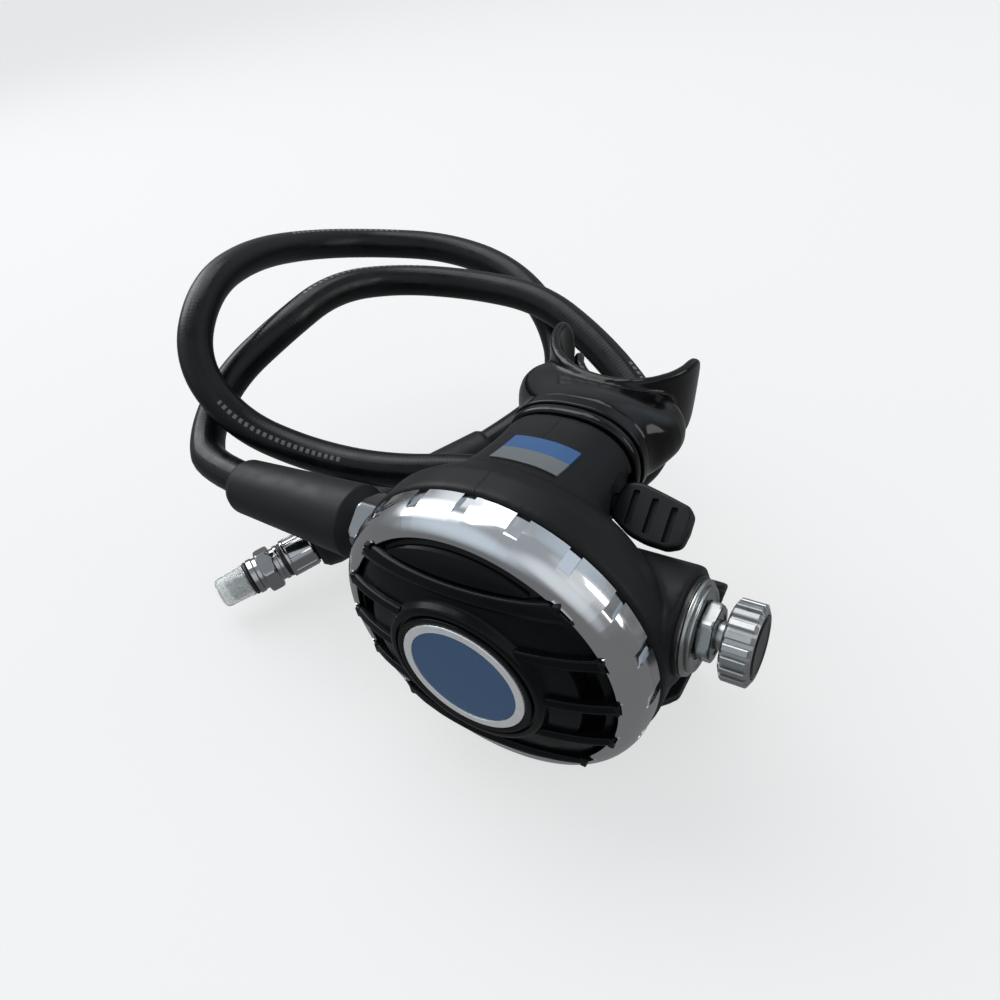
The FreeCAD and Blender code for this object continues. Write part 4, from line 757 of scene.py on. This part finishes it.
black_plastic = finish("black_plastic", (0.0022, 0.0024, 0.0029), 0.28, mottle=0.25, mottle_size=9.0,
                       spread=0.06,
                       grain=0.004, grain_size=0.30, gleam=0.13)
dress(purge_cover, black_plastic, "purge_cover", body="purge_button")


RIB_REACH = 37.15
RIB_WIDTHS = (4.3, 3.1, 3.1, 3.1, 3.1)
RIB_SHIFTS = (-0.9, 0, 0, 0, 0)
HEAD_HALF_LENGTH, HEAD_HALF_WIDTH = 0.8, 1.62
HEAD_FOOT, HEAD_TOP = 6.4, 8.95


def blunt(height, reach):
    """Distance across the cover at which a rib at a height meets a radius."""
    return math.sqrt(reach ** 2 - height ** 2)


def rib_sections(height, width, crest, start, stop):
    """Cross sections of a rib from one place across the cover to another."""
    steps = max(int(abs(stop - start) / 1.5), 8)
    sections = []
    for i in range(steps + 1):
        x = start + (stop - start) * i / steps
        radius = math.hypot(x, height)
        top = level(RIB_CREST, radius)
        low = 4.6 if radius < 33.9 else 6.4
        half = width / 2
        profile = [(-half - 0.15, low), (-half, top - 1.0), (-half + 0.15, top - 0.55),
                   (crest - 0.35, top - 0.10),
                   (crest, top), (crest + 0.4, top - 0.08), (half - 0.35, top - 0.42),
                   (half - 0.08, top - 0.62),
                   (half, top - 1.0), (half + 0.15, low)]
        sections.append([(x * blunt(height + y, RIB_REACH) / blunt(height, RIB_REACH), height + y, z) for y,
                         z in profile])
    return sections


def eased(item, width, angle=None):
    """Piece with its edges rounded to a width in millimetres, or only the edges sharper than an angle."""
    edges = item.modifiers.new("edges", "BEVEL")
    edges.width = width * MM
    edges.segments = 2
    edges.limit_method = "ANGLE" if angle else "NONE"
    if angle:
        edges.angle_limit = math.radians(angle)
    return item


for number, (height, width, shift) in enumerate(zip(RIB_HEIGHTS, RIB_WIDTHS, RIB_SHIFTS), start=1):
    outer = blunt(height + shift, RIB_REACH)
    inner = blunt(height, 21.0) if abs(height) < 20 else 0.0
    runs = [(-outer, -inner), (inner, outer)] if inner else [(-outer, outer)]
    for side, (start, stop) in zip("ab", runs):
        rib = shaded(skinned("rib_%d%s" % (number, side),
                             rib_sections(height + shift, width, -0.35, start, stop), COVER_PLACE,
                             closed=False), 50)
        dress(rib, black_plastic, "purge_cover", body="purge_button")
    for side in (-1, 1):
        x = side * (blunt(height, RIB_REACH) - 0.75)
        corners = [(x + dx * HEAD_HALF_LENGTH, height + dy * HEAD_HALF_WIDTH)
                   for dx, dy in ((-1, -1), (1, -1), (1, 1), (-1, 1))]
        head = skinned("rib_head_%d%s" % (number, "a" if side < 0 else "b"),
                       [[(a, b, level_of_head) for a, b in corners]
                        for level_of_head in (HEAD_FOOT, HEAD_TOP)],
                       COVER_PLACE, closed=False)
        dress(shaded(eased(head, 0.3), 50), black_plastic, "purge_cover", body="purge_button")

PANEL_CHORD = 28.75
PANEL_RADIUS = 34.5
panel_half = math.sqrt(PANEL_RADIUS ** 2 - PANEL_CHORD ** 2) - 0.6
panel_columns = []
for i in range(41):
    x = -panel_half + 2 * panel_half * i / 40
    far = math.sqrt(PANEL_RADIUS ** 2 - x * x)
    column = [(x, PANEL_CHORD, level(DOME, math.hypot(x, PANEL_CHORD)) - 0.8)]
    for share in (0.0, 0.08, 0.3, 0.5, 0.7, 0.92, 1.0):
        y = PANEL_CHORD + (far - PANEL_CHORD) * share
        drop = 0.35 if share in (0.0, 1.0) else 0.0
        column.append((x, y, level(DOME, math.hypot(x, y)) + 0.95 - drop))
    column.append((x, far, level(DOME, PANEL_RADIUS) - 0.8))
    panel_columns.append(column)
crescent = shaded(skinned("crescent_panel", panel_columns, COVER_PLACE, closed=False), 24)
dress(crescent, black_plastic, "purge_cover", body="purge_button")


# Medallion: a satin metal rim pressed into the boss round a blue enamelled disc, which is left bare.
blue_enamel = finish("blue_enamel", (0.028, 0.072, 0.150), 0.38, mottle=0.22, mottle_size=0.9, spread=0.06,
                     grain=0.006, grain_size=0.25, gleam=0.4)
satin_metal = finish("satin_metal", (0.34, 0.35, 0.35), 0.26, metal=1.0, mottle=0.06, mottle_size=4.0,
                     spread=0.07,
                     grain=0.0015, grain_size=0.22)
bright_rim = finish("bright_rim", (0.80, 0.81, 0.81), 0.42, metal=0.7, mottle=0.05, mottle_size=3.0,
                    spread=0.06,
                    grain=0.003, grain_size=0.22)
medal_rim = turned("medallion_rim", [(14.45, 13.25, 0), (16.7, 13.25, 0.1), (16.7, 15.0, 0.3),
                                     (14.45, 15.0, 0.15)], COVER_PLACE)
dress(medal_rim, bright_rim, "medallion_rim", body="purge_button")
medal_disc = turned("medallion_disc", [(0, 13.25, 0), (14.4, 13.25, 0.1), (14.4, 14.72, 0.12),
                                       (0, 14.95, 0)], COVER_PLACE)
dress(medal_disc, blue_enamel, "medallion_disc", body="purge_button")


# Case: black glass-filled nylon, moulded with the oval breathing tube, the barrel's housing and the
# exhaust port. Its edges are softly rounded by the mould, whose halves leave a fine line on the tube.
def softened(item, voxel, rounds):
    """Piece remeshed at a voxel in millimetres, which joins its shells, and smoothed in some rounds."""
    remesh = item.modifiers.new("remesh", "REMESH")
    remesh.mode = "VOXEL"
    remesh.voxel_size = voxel * MM
    if rounds:
        soften = item.modifiers.new("soften", "SMOOTH")
        soften.factor = 0.5
        soften.iterations = rounds
    smooth = as_built(item)
    item.modifiers.clear()
    item.data = smooth
    for polygon in smooth.polygons:
        polygon.use_smooth = True
    return item


def moulded(name, node, voxel, rounds):
    """Copy of a solid whose edges are softened as a mould leaves them."""
    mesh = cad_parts[node].data.copy()
    bm = bmesh.new()
    bm.from_mesh(mesh)
    bmesh.ops.remove_doubles(bm, verts=bm.verts, dist=0.001 * MM)
    bm.to_mesh(mesh)
    bm.free()
    return softened(link(name, mesh), voxel, rounds)


def spot_on(material):
    """Node that parts a point's place on the piece into X, Y and Z."""
    coords = material.node_tree.nodes.new("ShaderNodeTexCoord")
    parts = material.node_tree.nodes.new("ShaderNodeSeparateXYZ")
    material.node_tree.links.new(coords.outputs["Object"], parts.inputs["Vector"])
    return parts


case_nylon = finish("case_nylon", (0.0050, 0.0054, 0.0060), 0.46, mottle=0.20, mottle_size=8.0, spread=0.07,
                    grain=0.014, grain_size=0.22, gleam=0.15)
nodes = case_nylon.node_tree.nodes
links = case_nylon.node_tree.links
seam_gap = result_of(case_nylon, "ABSOLUTE", spot_on(case_nylon).outputs["X"], 0)
seam_line = nodes.new("ShaderNodeMapRange")
seam_line.inputs["From Min"].default_value = 0.05 * MM
seam_line.inputs["From Max"].default_value = 0.28 * MM
seam_line.inputs["To Min"].default_value = 1.0
seam_line.inputs["To Max"].default_value = 0.0
links.new(seam_gap, seam_line.inputs["Value"])
seam_bump = nodes.new("ShaderNodeBump")
seam_bump.inputs["Strength"].default_value = 1.0
seam_bump.inputs["Distance"].default_value = 0.10 * MM
links.new(seam_line.outputs["Result"], seam_bump.inputs["Height"])
links.new(nodes["bump"].outputs["Normal"], seam_bump.inputs["Normal"])
links.new(seam_bump.outputs["Normal"], nodes["Principled BSDF"].inputs["Normal"])
case_shell = moulded("case_shell", "case_body", 0.75, 5)
dress(case_shell, case_nylon, "case_body")


# Label plate: a bare two-band plastic plate bonded to the top of the breathing tube, blue towards the mouth.
# Its face is printed under a clear gloss coat.
LABEL_LOW, LABEL_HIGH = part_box("label_plate")
label_split = (LABEL_LOW[1] + LABEL_HIGH[1]) / 2
label_print = finish("label_print", (0.085, 0.095, 0.10), 0.34, mottle=0.05, mottle_size=1.2, spread=0.06,
                     grain=0.004, grain_size=0.3)
nodes = label_print.node_tree.nodes
links = label_print.node_tree.links
label_step = nodes.new("ShaderNodeMapRange")
label_step.inputs["From Min"].default_value = label_split - 0.04 * MM
label_step.inputs["From Max"].default_value = label_split + 0.04 * MM
links.new(spot_on(label_print).outputs["Y"], label_step.inputs["Value"])
label_tint = nodes.new("ShaderNodeMix")
label_tint.data_type = "RGBA"
label_tint.inputs["B"].default_value = (0.010, 0.060, 0.165, 1)
links.new(label_step.outputs["Result"], label_tint.inputs["Factor"])
links.new(nodes["tint"].outputs["Result"], label_tint.inputs["A"])
links.new(label_tint.outputs["Result"], nodes["Principled BSDF"].inputs["Base Color"])
nodes["Principled BSDF"].inputs["Coat Weight"].default_value = 0.2
nodes["Principled BSDF"].inputs["Coat Roughness"].default_value = 0.15


def coat_solid(node, material):
    """Give a solid of the frame its material."""
    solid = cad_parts[node]
    solid.data.materials.clear()
    solid.data.materials.append(material)


coat_solid("label_plate", label_print)


# Mouthpiece: glossy black silicone, pulled over the end of the breathing tube and held by a smooth band.
# Its flange wraps round the lips and two lugs are gripped by the teeth.
gloss_silicone = finish("gloss_silicone", (0.0016, 0.0016, 0.0019), 0.12, mottle=0.15, mottle_size=10.0,
                        spread=0.03,
                        grain=0.002, grain_size=0.6, gleam=0.26)
OVAL_POWER = 0.86


def oval_point(angle, half_width, half_height):
    """Point of the breathing tube's oval at an angle."""
    c, s = math.cos(angle), math.sin(angle)
    return (half_width * math.copysign(abs(c) ** OVAL_POWER, c),
            half_height * math.copysign(abs(s) ** OVAL_POWER, s))


def cut_away(item, cutter):
    """Piece with a closed cutter taken out of it; the cutter is used up."""
    cut = item.modifiers.new("cut", "BOOLEAN")
    cut.operation = "DIFFERENCE"
    cut.solver = "EXACT"
    cut.object = cutter
    left = as_built(item)
    item.modifiers.clear()
    item.data = left
    bpy.data.objects.remove(cutter)
    return item


def joined(name, pieces):
    """One object of several pieces' meshes; the pieces are used up."""
    bm = bmesh.new()
    for piece in pieces:
        bm.from_mesh(piece.data)
        bpy.data.objects.remove(piece)
    mesh = bpy.data.meshes.new(name)
    bm.to_mesh(mesh)
    bm.free()
    return link(name, mesh)


TUBE_HEIGHT = 68.0
FLANGE_X, FLANGE_Y = -4.0, 57.2
FLANGE_RADIUS, FLANGE_WALL, FLANGE_HALF = 21.8, 2.6, 12.7
FLANGE_SIDE, FLANGE_END = 84.0, 107.0
MOUTH_ROLL = math.radians(8)
ROLL_START, ROLL_LENGTH = 24.0, 14.0
NECK_LINE = [(14.4, 18.8, 14.5, 0), (14.7, 19.1, 14.8, 0), (17.45, 19.15, 14.85, 0), (17.5, 18.5, 14.2, 0),
             (21.5, 18.5, 14.2, 0),
             (21.55, 19.2, 14.9, 0), (23.2, 19.3, 14.8, 0), (25.0, 20.2, 14.5, -0.2),
             (27.5, 21.9, 13.8, -0.5), (30.5, 23.6, 12.7, -1.0),
             (34.0, 24.9, 11.6, -1.6), (37.5, 25.3, 10.9, -2.3), (41.0, 24.8, 10.5, -2.9),
             (44.2, 22.9, 10.0, -3.3),
             (46.8, 20.4, 9.0, -3.6), (48.6, 18.2, 7.6, -3.8)]
THROAT_LINE = [(14.0, 16.75, 12.45, 0), (25.2, 16.75, 12.45, 0), (25.6, 13.35, 9.05, 0),
               (36.4, 13.35, 8.05, FLANGE_X),
               (50.0, 13.35, 8.05, FLANGE_X)]


def ovals(line, sides):
    """Oval sections of (y, half width, half height, centre), which roll towards the flange's tilt."""
    sections = []
    for y, half_width, half_height, centre in line:
        roll = MOUTH_ROLL * min(max((y - ROLL_START) / ROLL_LENGTH, 0), 1)
        section = []
        for k in range(sides):
            x, z = oval_point(2 * math.pi * k / sides, half_width, half_height)
            section.append((centre + x * math.cos(roll) + z * math.sin(roll), y,
                            TUBE_HEIGHT - x * math.sin(roll) + z * math.cos(roll)))
        sections.append(section)
    return sections


def rolled(x, y, z):
    """Point of the upright flange, tilted with the mouthpiece."""
    out = x - FLANGE_X
    return (FLANGE_X + out * math.cos(MOUTH_ROLL) + z * math.sin(MOUTH_ROLL), y,
            TUBE_HEIGHT - out * math.sin(MOUTH_ROLL) + z * math.cos(MOUTH_ROLL))


def in_flange(angle, radius, height):
    """Point inside the lip flange at an angle in degrees from its front, a radius and a height."""
    turn_angle = math.radians(angle)
    return rolled(FLANGE_X + radius * math.sin(turn_angle), FLANGE_Y - radius * math.cos(turn_angle),
                  height)


def flange_section(angle):
    """Section of the lip flange at an angle in degrees from the front: a wall with beaded edges."""
    past = max(abs(angle) - FLANGE_SIDE, 0) / (FLANGE_END - FLANGE_SIDE)
    half = max(FLANGE_HALF * math.sqrt(max(1 - past * past, 0)), 1.0)
    inner, outer = FLANGE_RADIUS - FLANGE_WALL, FLANGE_RADIUS
    bead = min(1.0, half * 0.5)
    side = [(outer, half - 2.4 * bead), (outer + 0.15, half - bead), (outer - 0.25, half - 0.2 * bead),
            ((outer + inner) / 2, half), (inner + 0.25, half - 0.2 * bead), (inner - 0.15, half - bead),
            (inner, half - 2.4 * bead)]
    outline = side + [(radius, -height) for radius, height in reversed(side)]
    return [in_flange(angle, radius, height) for radius, height in outline]


neck = skinned("neck", ovals(NECK_LINE, 96), HERE, closed=False)
hollow_sections = []
for height in (-30, 30):
    hollow_sections.append([rolled(FLANGE_X + (FLANGE_RADIUS - FLANGE_WALL)
                                   * math.sin(2 * math.pi * k / 96),
                                   FLANGE_Y - (FLANGE_RADIUS - FLANGE_WALL)
                                   * math.cos(2 * math.pi * k / 96), height)
                            for k in range(96)])
cut_away(neck, skinned("flange_hollow", hollow_sections, HERE, closed=False))
lip_flange = skinned("lip_flange", [flange_section(-FLANGE_END + FLANGE_END * k / 40) for k in range(81)],
                     HERE, closed=False)
mouth_shell = softened(joined("mouth_shell", [neck, lip_flange]), 0.6, 0)
cut_away(mouth_shell, skinned("throat", ovals(THROAT_LINE, 64), HERE, closed=False))

BITE_RADIUS, BITE_HALF = 13.4, 6.6
bite_lugs = []
for side in (-1, 1):
    stem = [[in_flange(side * angle, radius, height) for radius, height in (
        (BITE_RADIUS, -1.5), (FLANGE_RADIUS - 1.2, -2.4), (FLANGE_RADIUS - 1.2, 2.4), (BITE_RADIUS, 1.5))]
            for angle in (30, 40, 52, 64, 74)]
    bite_lugs.append(skinned("bite_stem", stem, HERE, closed=False))
    blade = []
    for angle, share in ((22, 0.45), (24, 0.72), (30, 0.93), (40, 1.0), (55, 1.0), (70, 0.95), (80, 0.80),
                         (84, 0.5)):
        half, thick = BITE_HALF * share, 1.5 * min(share + 0.15, 1.0)
        blade.append([in_flange(side * angle, BITE_RADIUS + out * thick, up * half) for out, up in (
            (-1, -0.85), (-0.5, -1), (0.5, -1), (1, -0.85), (0.75, 0), (1, 0.85), (0.5, 1), (-0.5, 1),
            (-1, 0.85), (-0.75, 0))])
    bite_lugs.append(skinned("bite_blade", blade, HERE, closed=False))
mouth_shell = softened(joined("mouth_shell", [mouth_shell] + bite_lugs), 0.55, 7)
dress(mouth_shell, gloss_silicone, "mouthpiece")

TIE_LOW, TIE_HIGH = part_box("mouthpiece_tie")
tie_half = ((TIE_HIGH[0] - TIE_LOW[0]) / 2 / MM, (TIE_HIGH[2] - TIE_LOW[2]) / 2 / MM)
tie_centre = ((TIE_HIGH[0] + TIE_LOW[0]) / 2 / MM, (TIE_HIGH[2] + TIE_LOW[2]) / 2 / MM)
TIE_THICK = 1.1
tie_front, tie_back = TIE_LOW[1] / MM, TIE_HIGH[1] / MM
tie_outline = rounded([(-TIE_THICK, tie_front, 0), (0, tie_front, 0.5), (0, tie_back, 0.5),
                       (-TIE_THICK, tie_back, 0)])
tie_sections = []
for k in range(144):
    angle = 2 * math.pi * k / 144
    section = []
    for reach, y in tie_outline:
        x, z = oval_point(angle, tie_half[0] + reach, tie_half[1] + reach)
        section.append((tie_centre[0] + x, y, tie_centre[1] + z))
    tie_sections.append(section)
band_round_mouth = shaded(skinned("mouth_band", tie_sections, HERE), 30)
dress(band_round_mouth, gloss_silicone, "mouthpiece_tie")


# Venturi lever: a moulded paddle on a shaft through the side of the breathing tube, with three grip slots.
# It turns the vane inside the tube by forty degrees.
PADDLE_FOOT = Matrix.Translation((0.0169, 0.006, 0.064))
PADDLE_PLACE = PADDLE_FOOT @ Matrix.Rotation(math.radians(33), 4, "X")
PADDLE_LENGTH, PADDLE_WIDTH = 20.0, 15.0
PADDLE_EDGE = [(-2.0, 1.1), (-1.85, 0.5), (-1.45, 0.12), (-0.9, 0.0), (0.9, 0.0), (1.45, 0.12), (1.85, 0.5),
               (2.0, 1.1)]
paddle_plan = rounded([(0.05, -3.3, 2.0), (5.4, -6.6, 9.0), (10.4, -7.75, 14.0), (16.0, -8.0, 3.5),
                       (19.4, -6.4, 2.5),
                       (20.0, -2.5, 7.0), (19.9, 1.8, 2.5), (18.4, 3.7, 2.5), (12.0, 5.35, 16.0),
                       (5.0, 6.95, 7.0),
                       (1.3, 6.1, 2.6), (0.05, 2.7, 2.6)], 5)
paddle_middle = Vector((10.0, -0.6))
paddle_sections = []
for height, inset in PADDLE_EDGE:
    section = []
    for x, y in paddle_plan:
        out = Vector((x, y)) - paddle_middle
        shrunk = (out.x * (1 - inset / (PADDLE_LENGTH / 2)), out.y * (1 - inset / (PADDLE_WIDTH / 2)))
        at = paddle_middle + Vector(shrunk)
        section.append((at.x, at.y, height))
    paddle_sections.append(section)
paddle = skinned("paddle", paddle_sections, HERE, closed=False)

row_tree, start = tree_of("bars_in_a_row", [("Bar", "Object"), ("Count", "Int"), ("Step", "Vector"),
                                            ("Material", "Material")])
spots, bars = copies_of_bar(row_tree, start)
row_tree.links.new(start.outputs["Step"], spots.inputs["Offset"])
close_tree(row_tree, start, bars.outputs["Instances"])

slot_plan = rounded([(4.0, -4.5, 0.4), (5.6, -4.5, 0.4), (5.6, 4.5, 0.4), (4.0, 4.5, 0.4)])
SLOT_FLOOR, SLOT_OPEN = 0.7, 3.0
slot_sections = [[(x, y, z) for x, y in slot_plan] for z in (SLOT_FLOOR, SLOT_OPEN)]
slot_cutter = skinned("slot_cutter", slot_sections, HERE, closed=False)
cutters = grown("slot_cutters", row_tree, None, HERE, bar=slot_cutter, count=3,
                step=(5.2 * MM, -1.05 * MM, 0), material=case_nylon)
cut_away(paddle, cutters)
bpy.data.objects.remove(slot_cutter)
paddle.data.transform(PADDLE_PLACE)
lever_plastic = finish("lever_plastic", (0.0065, 0.0070, 0.0075), 0.38, mottle=0.18, mottle_size=6.0,
                       spread=0.07,
                       grain=0.006, grain_size=0.3, gleam=0.18)
dress(shaded(eased(paddle, 0.18, 50), 40), lever_plastic, "venturi_lever", body="venturi")
ALONG_X = Matrix.Rotation(math.radians(90), 4, "Y")
paddle_shaft = turned("paddle_shaft", [(0, -10.3, 0), (2.6, -10.3, 0.2), (2.6, 0.5, 0), (0, 0.5, 0)],
                      PADDLE_FOOT @ ALONG_X, sides=48)
dress(paddle_shaft, lever_plastic, "venturi_lever", body="venturi")


# Exhaust tee: soft black rubber below the case, open at both ends, which leads the bubbles to the sides.
# It is stretched over the rim of the exhaust port.
tee_rubber = finish("tee_rubber", (0.0050, 0.0053, 0.0058), 0.42, mottle=0.22, mottle_size=9.0, spread=0.08,
                    grain=0.010, grain_size=0.3, gleam=0.32)
tee_shell = moulded("tee_shell", "exhaust_tee", 0.6, 14)
dress(tee_shell, tee_rubber, "exhaust_tee")


# Adjustment side: the barrel's flange pulls a rubber gasket and a bright washer against the housing, and
# a packing nut holds the shaft. The knob is turned aluminium with twenty ridges and a black end disc.
BARREL_MIDDLE = Matrix.Translation((0, -0.011, 0.0485))
BARREL_PLACE = BARREL_MIDDLE @ ALONG_X
knob_metal = finish("knob_metal", (0.40, 0.41, 0.41), 0.42, metal=1.0, mottle=0.10, mottle_size=1.4,
                    spread=0.07,
                    grain=0.010, grain_size=0.2)
coat_solid("barrel_gasket", seal_rubber)
bead = turned("flange_bead", [(9.6, 43.52, 0), (11.7, 43.52, 0.75), (11.7, 45.05, 0.75), (9.6, 45.05, 0)],
              BARREL_PLACE)
dress(bead, satin_metal)
washer = turned("flange_ring", [(7.2, 44.52, 0), (10.2, 44.52, 0), (10.5, 45.9, 0.7), (9.7, 46.1, 0.3),
                                (9.3, 46.1, 0.2), (9.1, 45.8, 0.2),
                                (7.2, 45.8, 0)], BARREL_PLACE)
dress(washer, satin_metal, "flange_washer")
packing = turned("gland_nut", [(3.55, 46.12, 0), (6.3, 46.12, 0.1), (6.8, 46.2, 0.2), (7.5, 46.6, 0.5),
                               (7.5, 48.6, 0.5), (6.8, 49.15, 0.3),
                               (6.2, 49.3, 0.15), (5.2, 49.3, 0.15), (4.9, 49.0, 0.1), (3.55, 49.0, 0)],
                               BARREL_PLACE, flats=13.0)
dress(packing, satin_metal, "packing_nut")
packing_skirt = turned("gland_nut_skirt", [(3.55, 40.1, 0), (6.0, 40.1, 0.2), (6.0, 46.12, 0),
                                           (3.55, 46.12, 0)], BARREL_PLACE)
dress(packing_skirt, satin_metal, "packing_nut")

knob_core = turned("knob_core", [(3.55, 51.7, 0), (7.6, 51.7, 0.3), (8.7, 52.5, 0.3), (8.7, 58.1, 0.3),
                                 (8.2, 58.9, 0.3), (7.6, 58.9, 0.12),
                                 (7.55, 58.1, 0), (3.55, 58.1, 0)], HERE)
ridge = bar("knob_ridge", 8.2, 9.7, 0.86, 51.85, 58.8, 0.75, 0.22)
knob = grown("knob", round_tree, knob_core, BARREL_PLACE, bar=ridge, count=20, material=knob_metal)
bpy.data.objects.remove(ridge)
dress(shaded(knob, 30), knob_metal, "adjustment_knob", body="knob")
knob_disc = turned("knob_disc", [(0, 58.12, 0), (7.4, 58.12, 0), (7.4, 58.8, 0.25), (6.4, 59.2, 0.3),
                                 (5.6, 59.0, 0.3), (0, 58.95, 0)], BARREL_PLACE)
dress(knob_disc, black_plastic, "knob_end_disc", body="knob")


# Hose side: the swivel nut that clamps the hose's stem to the barrel's inlet, and the short tapered guard.
# The nut is chromed brass, free to turn on the stem, and the guard is pushed up to it over the ferrule.
HOSE_SIDE_PLACE = BARREL_MIDDLE @ Matrix.Rotation(math.radians(-90), 4, "Y")
# The nut's chrome is a darker copy of dark_chrome: painted shade for the nut half hidden beside the ring,
# where it reflects less light.
nut_metal = finish("nut_metal", (0.24, 0.245, 0.25), 0.16, metal=1.0, mottle=0.06, mottle_size=6.0,
                   spread=0.05,
                   grain=0.002, grain_size=0.5)
nut = turned("hose_nut", [(7.18, 44.4, 0.1), (8.7, 44.4, 0.1), (9.5, 44.6, 0.5), (10.1, 45.7, 1.0),
                          (10.1, 52.8, 1.0), (9.5, 53.9, 0.5),
                          (8.7, 54.1, 0.1), (4.35, 54.1, 0.1), (4.35, 52.7, 0), (7.18, 52.7, 0)],
             HOSE_SIDE_PLACE @ Matrix.Rotation(math.radians(22), 4, "Z"), flats=17.5)
dress(nut, nut_metal, "swivel_nut", body="swivel")
short_guard = turned("nut_guard", [(6.98, 54.6, 0), (8.0, 54.6, 0.3), (11.2, 57.8, 1.0), (8.9, 104.3, 3.0),
                                   (7.6, 106.8, 0.9), (5.8, 106.8, 0.2),
                                   (5.8, 68.1, 0), (6.98, 68.1, 0)], HOSE_SIDE_PLACE, sides=128)
dress(short_guard, guard_rubber, "hose_guard")


# Inside: nickelled barrel, brass orifice, poppet with a soft seat and its spring, steel lever on its pin,
# and the silicone diaphragm with its plate. They are seen when the cover is off or through the tube.
nickel = finish("nickel", (0.62, 0.60, 0.55), 0.24, metal=1.0, mottle=0.06, mottle_size=5.0, spread=0.06,
                grain=0.003, grain_size=0.4)
brass = finish("brass", (0.66, 0.47, 0.20), 0.28, metal=1.0, mottle=0.08, mottle_size=4.0, spread=0.07,
               grain=0.003, grain_size=0.4)
steel = finish("steel", (0.55, 0.55, 0.56), 0.30, metal=1.0, mottle=0.06, mottle_size=4.0, spread=0.07,
               grain=0.004, grain_size=0.3)
clear_silicone = finish("clear_silicone", (0.72, 0.73, 0.70), 0.42, mottle=0.06, mottle_size=8.0,
                        spread=0.06,
                        grain=0.006, grain_size=0.5)
for node, material in (
        ("valve_barrel", nickel), ("hose_stem", dark_chrome), ("inlet_orifice", brass), ("poppet", brass),
        ("poppet_seat", seal_rubber), ("adjustment_shaft", satin_metal), ("spring_pad", brass),
        ("shaft_o_ring", seal_rubber), ("inlet_o_ring", seal_rubber), ("demand_lever", steel),
        ("lever_pin", steel), ("diaphragm_membrane", clear_silicone), ("diaphragm_plate", steel),
        ("venturi_vane", case_nylon)):
    coat_solid(node, material)

SPRING_LOW, SPRING_HIGH = [Vector(corner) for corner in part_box("poppet_spring")]
spring_radius = (SPRING_HIGH.z - SPRING_LOW.z) / 2
SPRING_WIRE = 0.45 * MM
spring_middle = (SPRING_LOW + SPRING_HIGH) / 2
spring_place = Matrix.Translation((SPRING_LOW.x + SPRING_WIRE, spring_middle.y, spring_middle.z)) @ ALONG_X
spring = grown("poppet_coil", coil_tree, None, spring_place, turns=7.5, coil_radius=spring_radius
               - SPRING_WIRE,
               height=SPRING_HIGH.x - SPRING_LOW.x - 2 * SPRING_WIRE, wire_radius=SPRING_WIRE,
               material=steel)
dress(shaded(spring, 40), steel, "poppet_spring")

VALVE_PLACE = Matrix.Translation((0, 0.00105, 0.022)) @ Matrix.Rotation(math.radians(-90), 4, "X")
flap = turned("exhaust_flap", [(0, 0.05, 0), (3.0, 0.0, 0.2), (9.0, 0.0, 0.5), (10.4, 0.3, 0.1),
                               (10.4, 0.55, 0.1), (9.2, 0.45, 0.5), (3.6, 0.5, 0.5),
                               (2.4, 0.8, 0.3), (0, 0.8, 0)], VALVE_PLACE)
dress(flap, clear_silicone, "exhaust_valve")
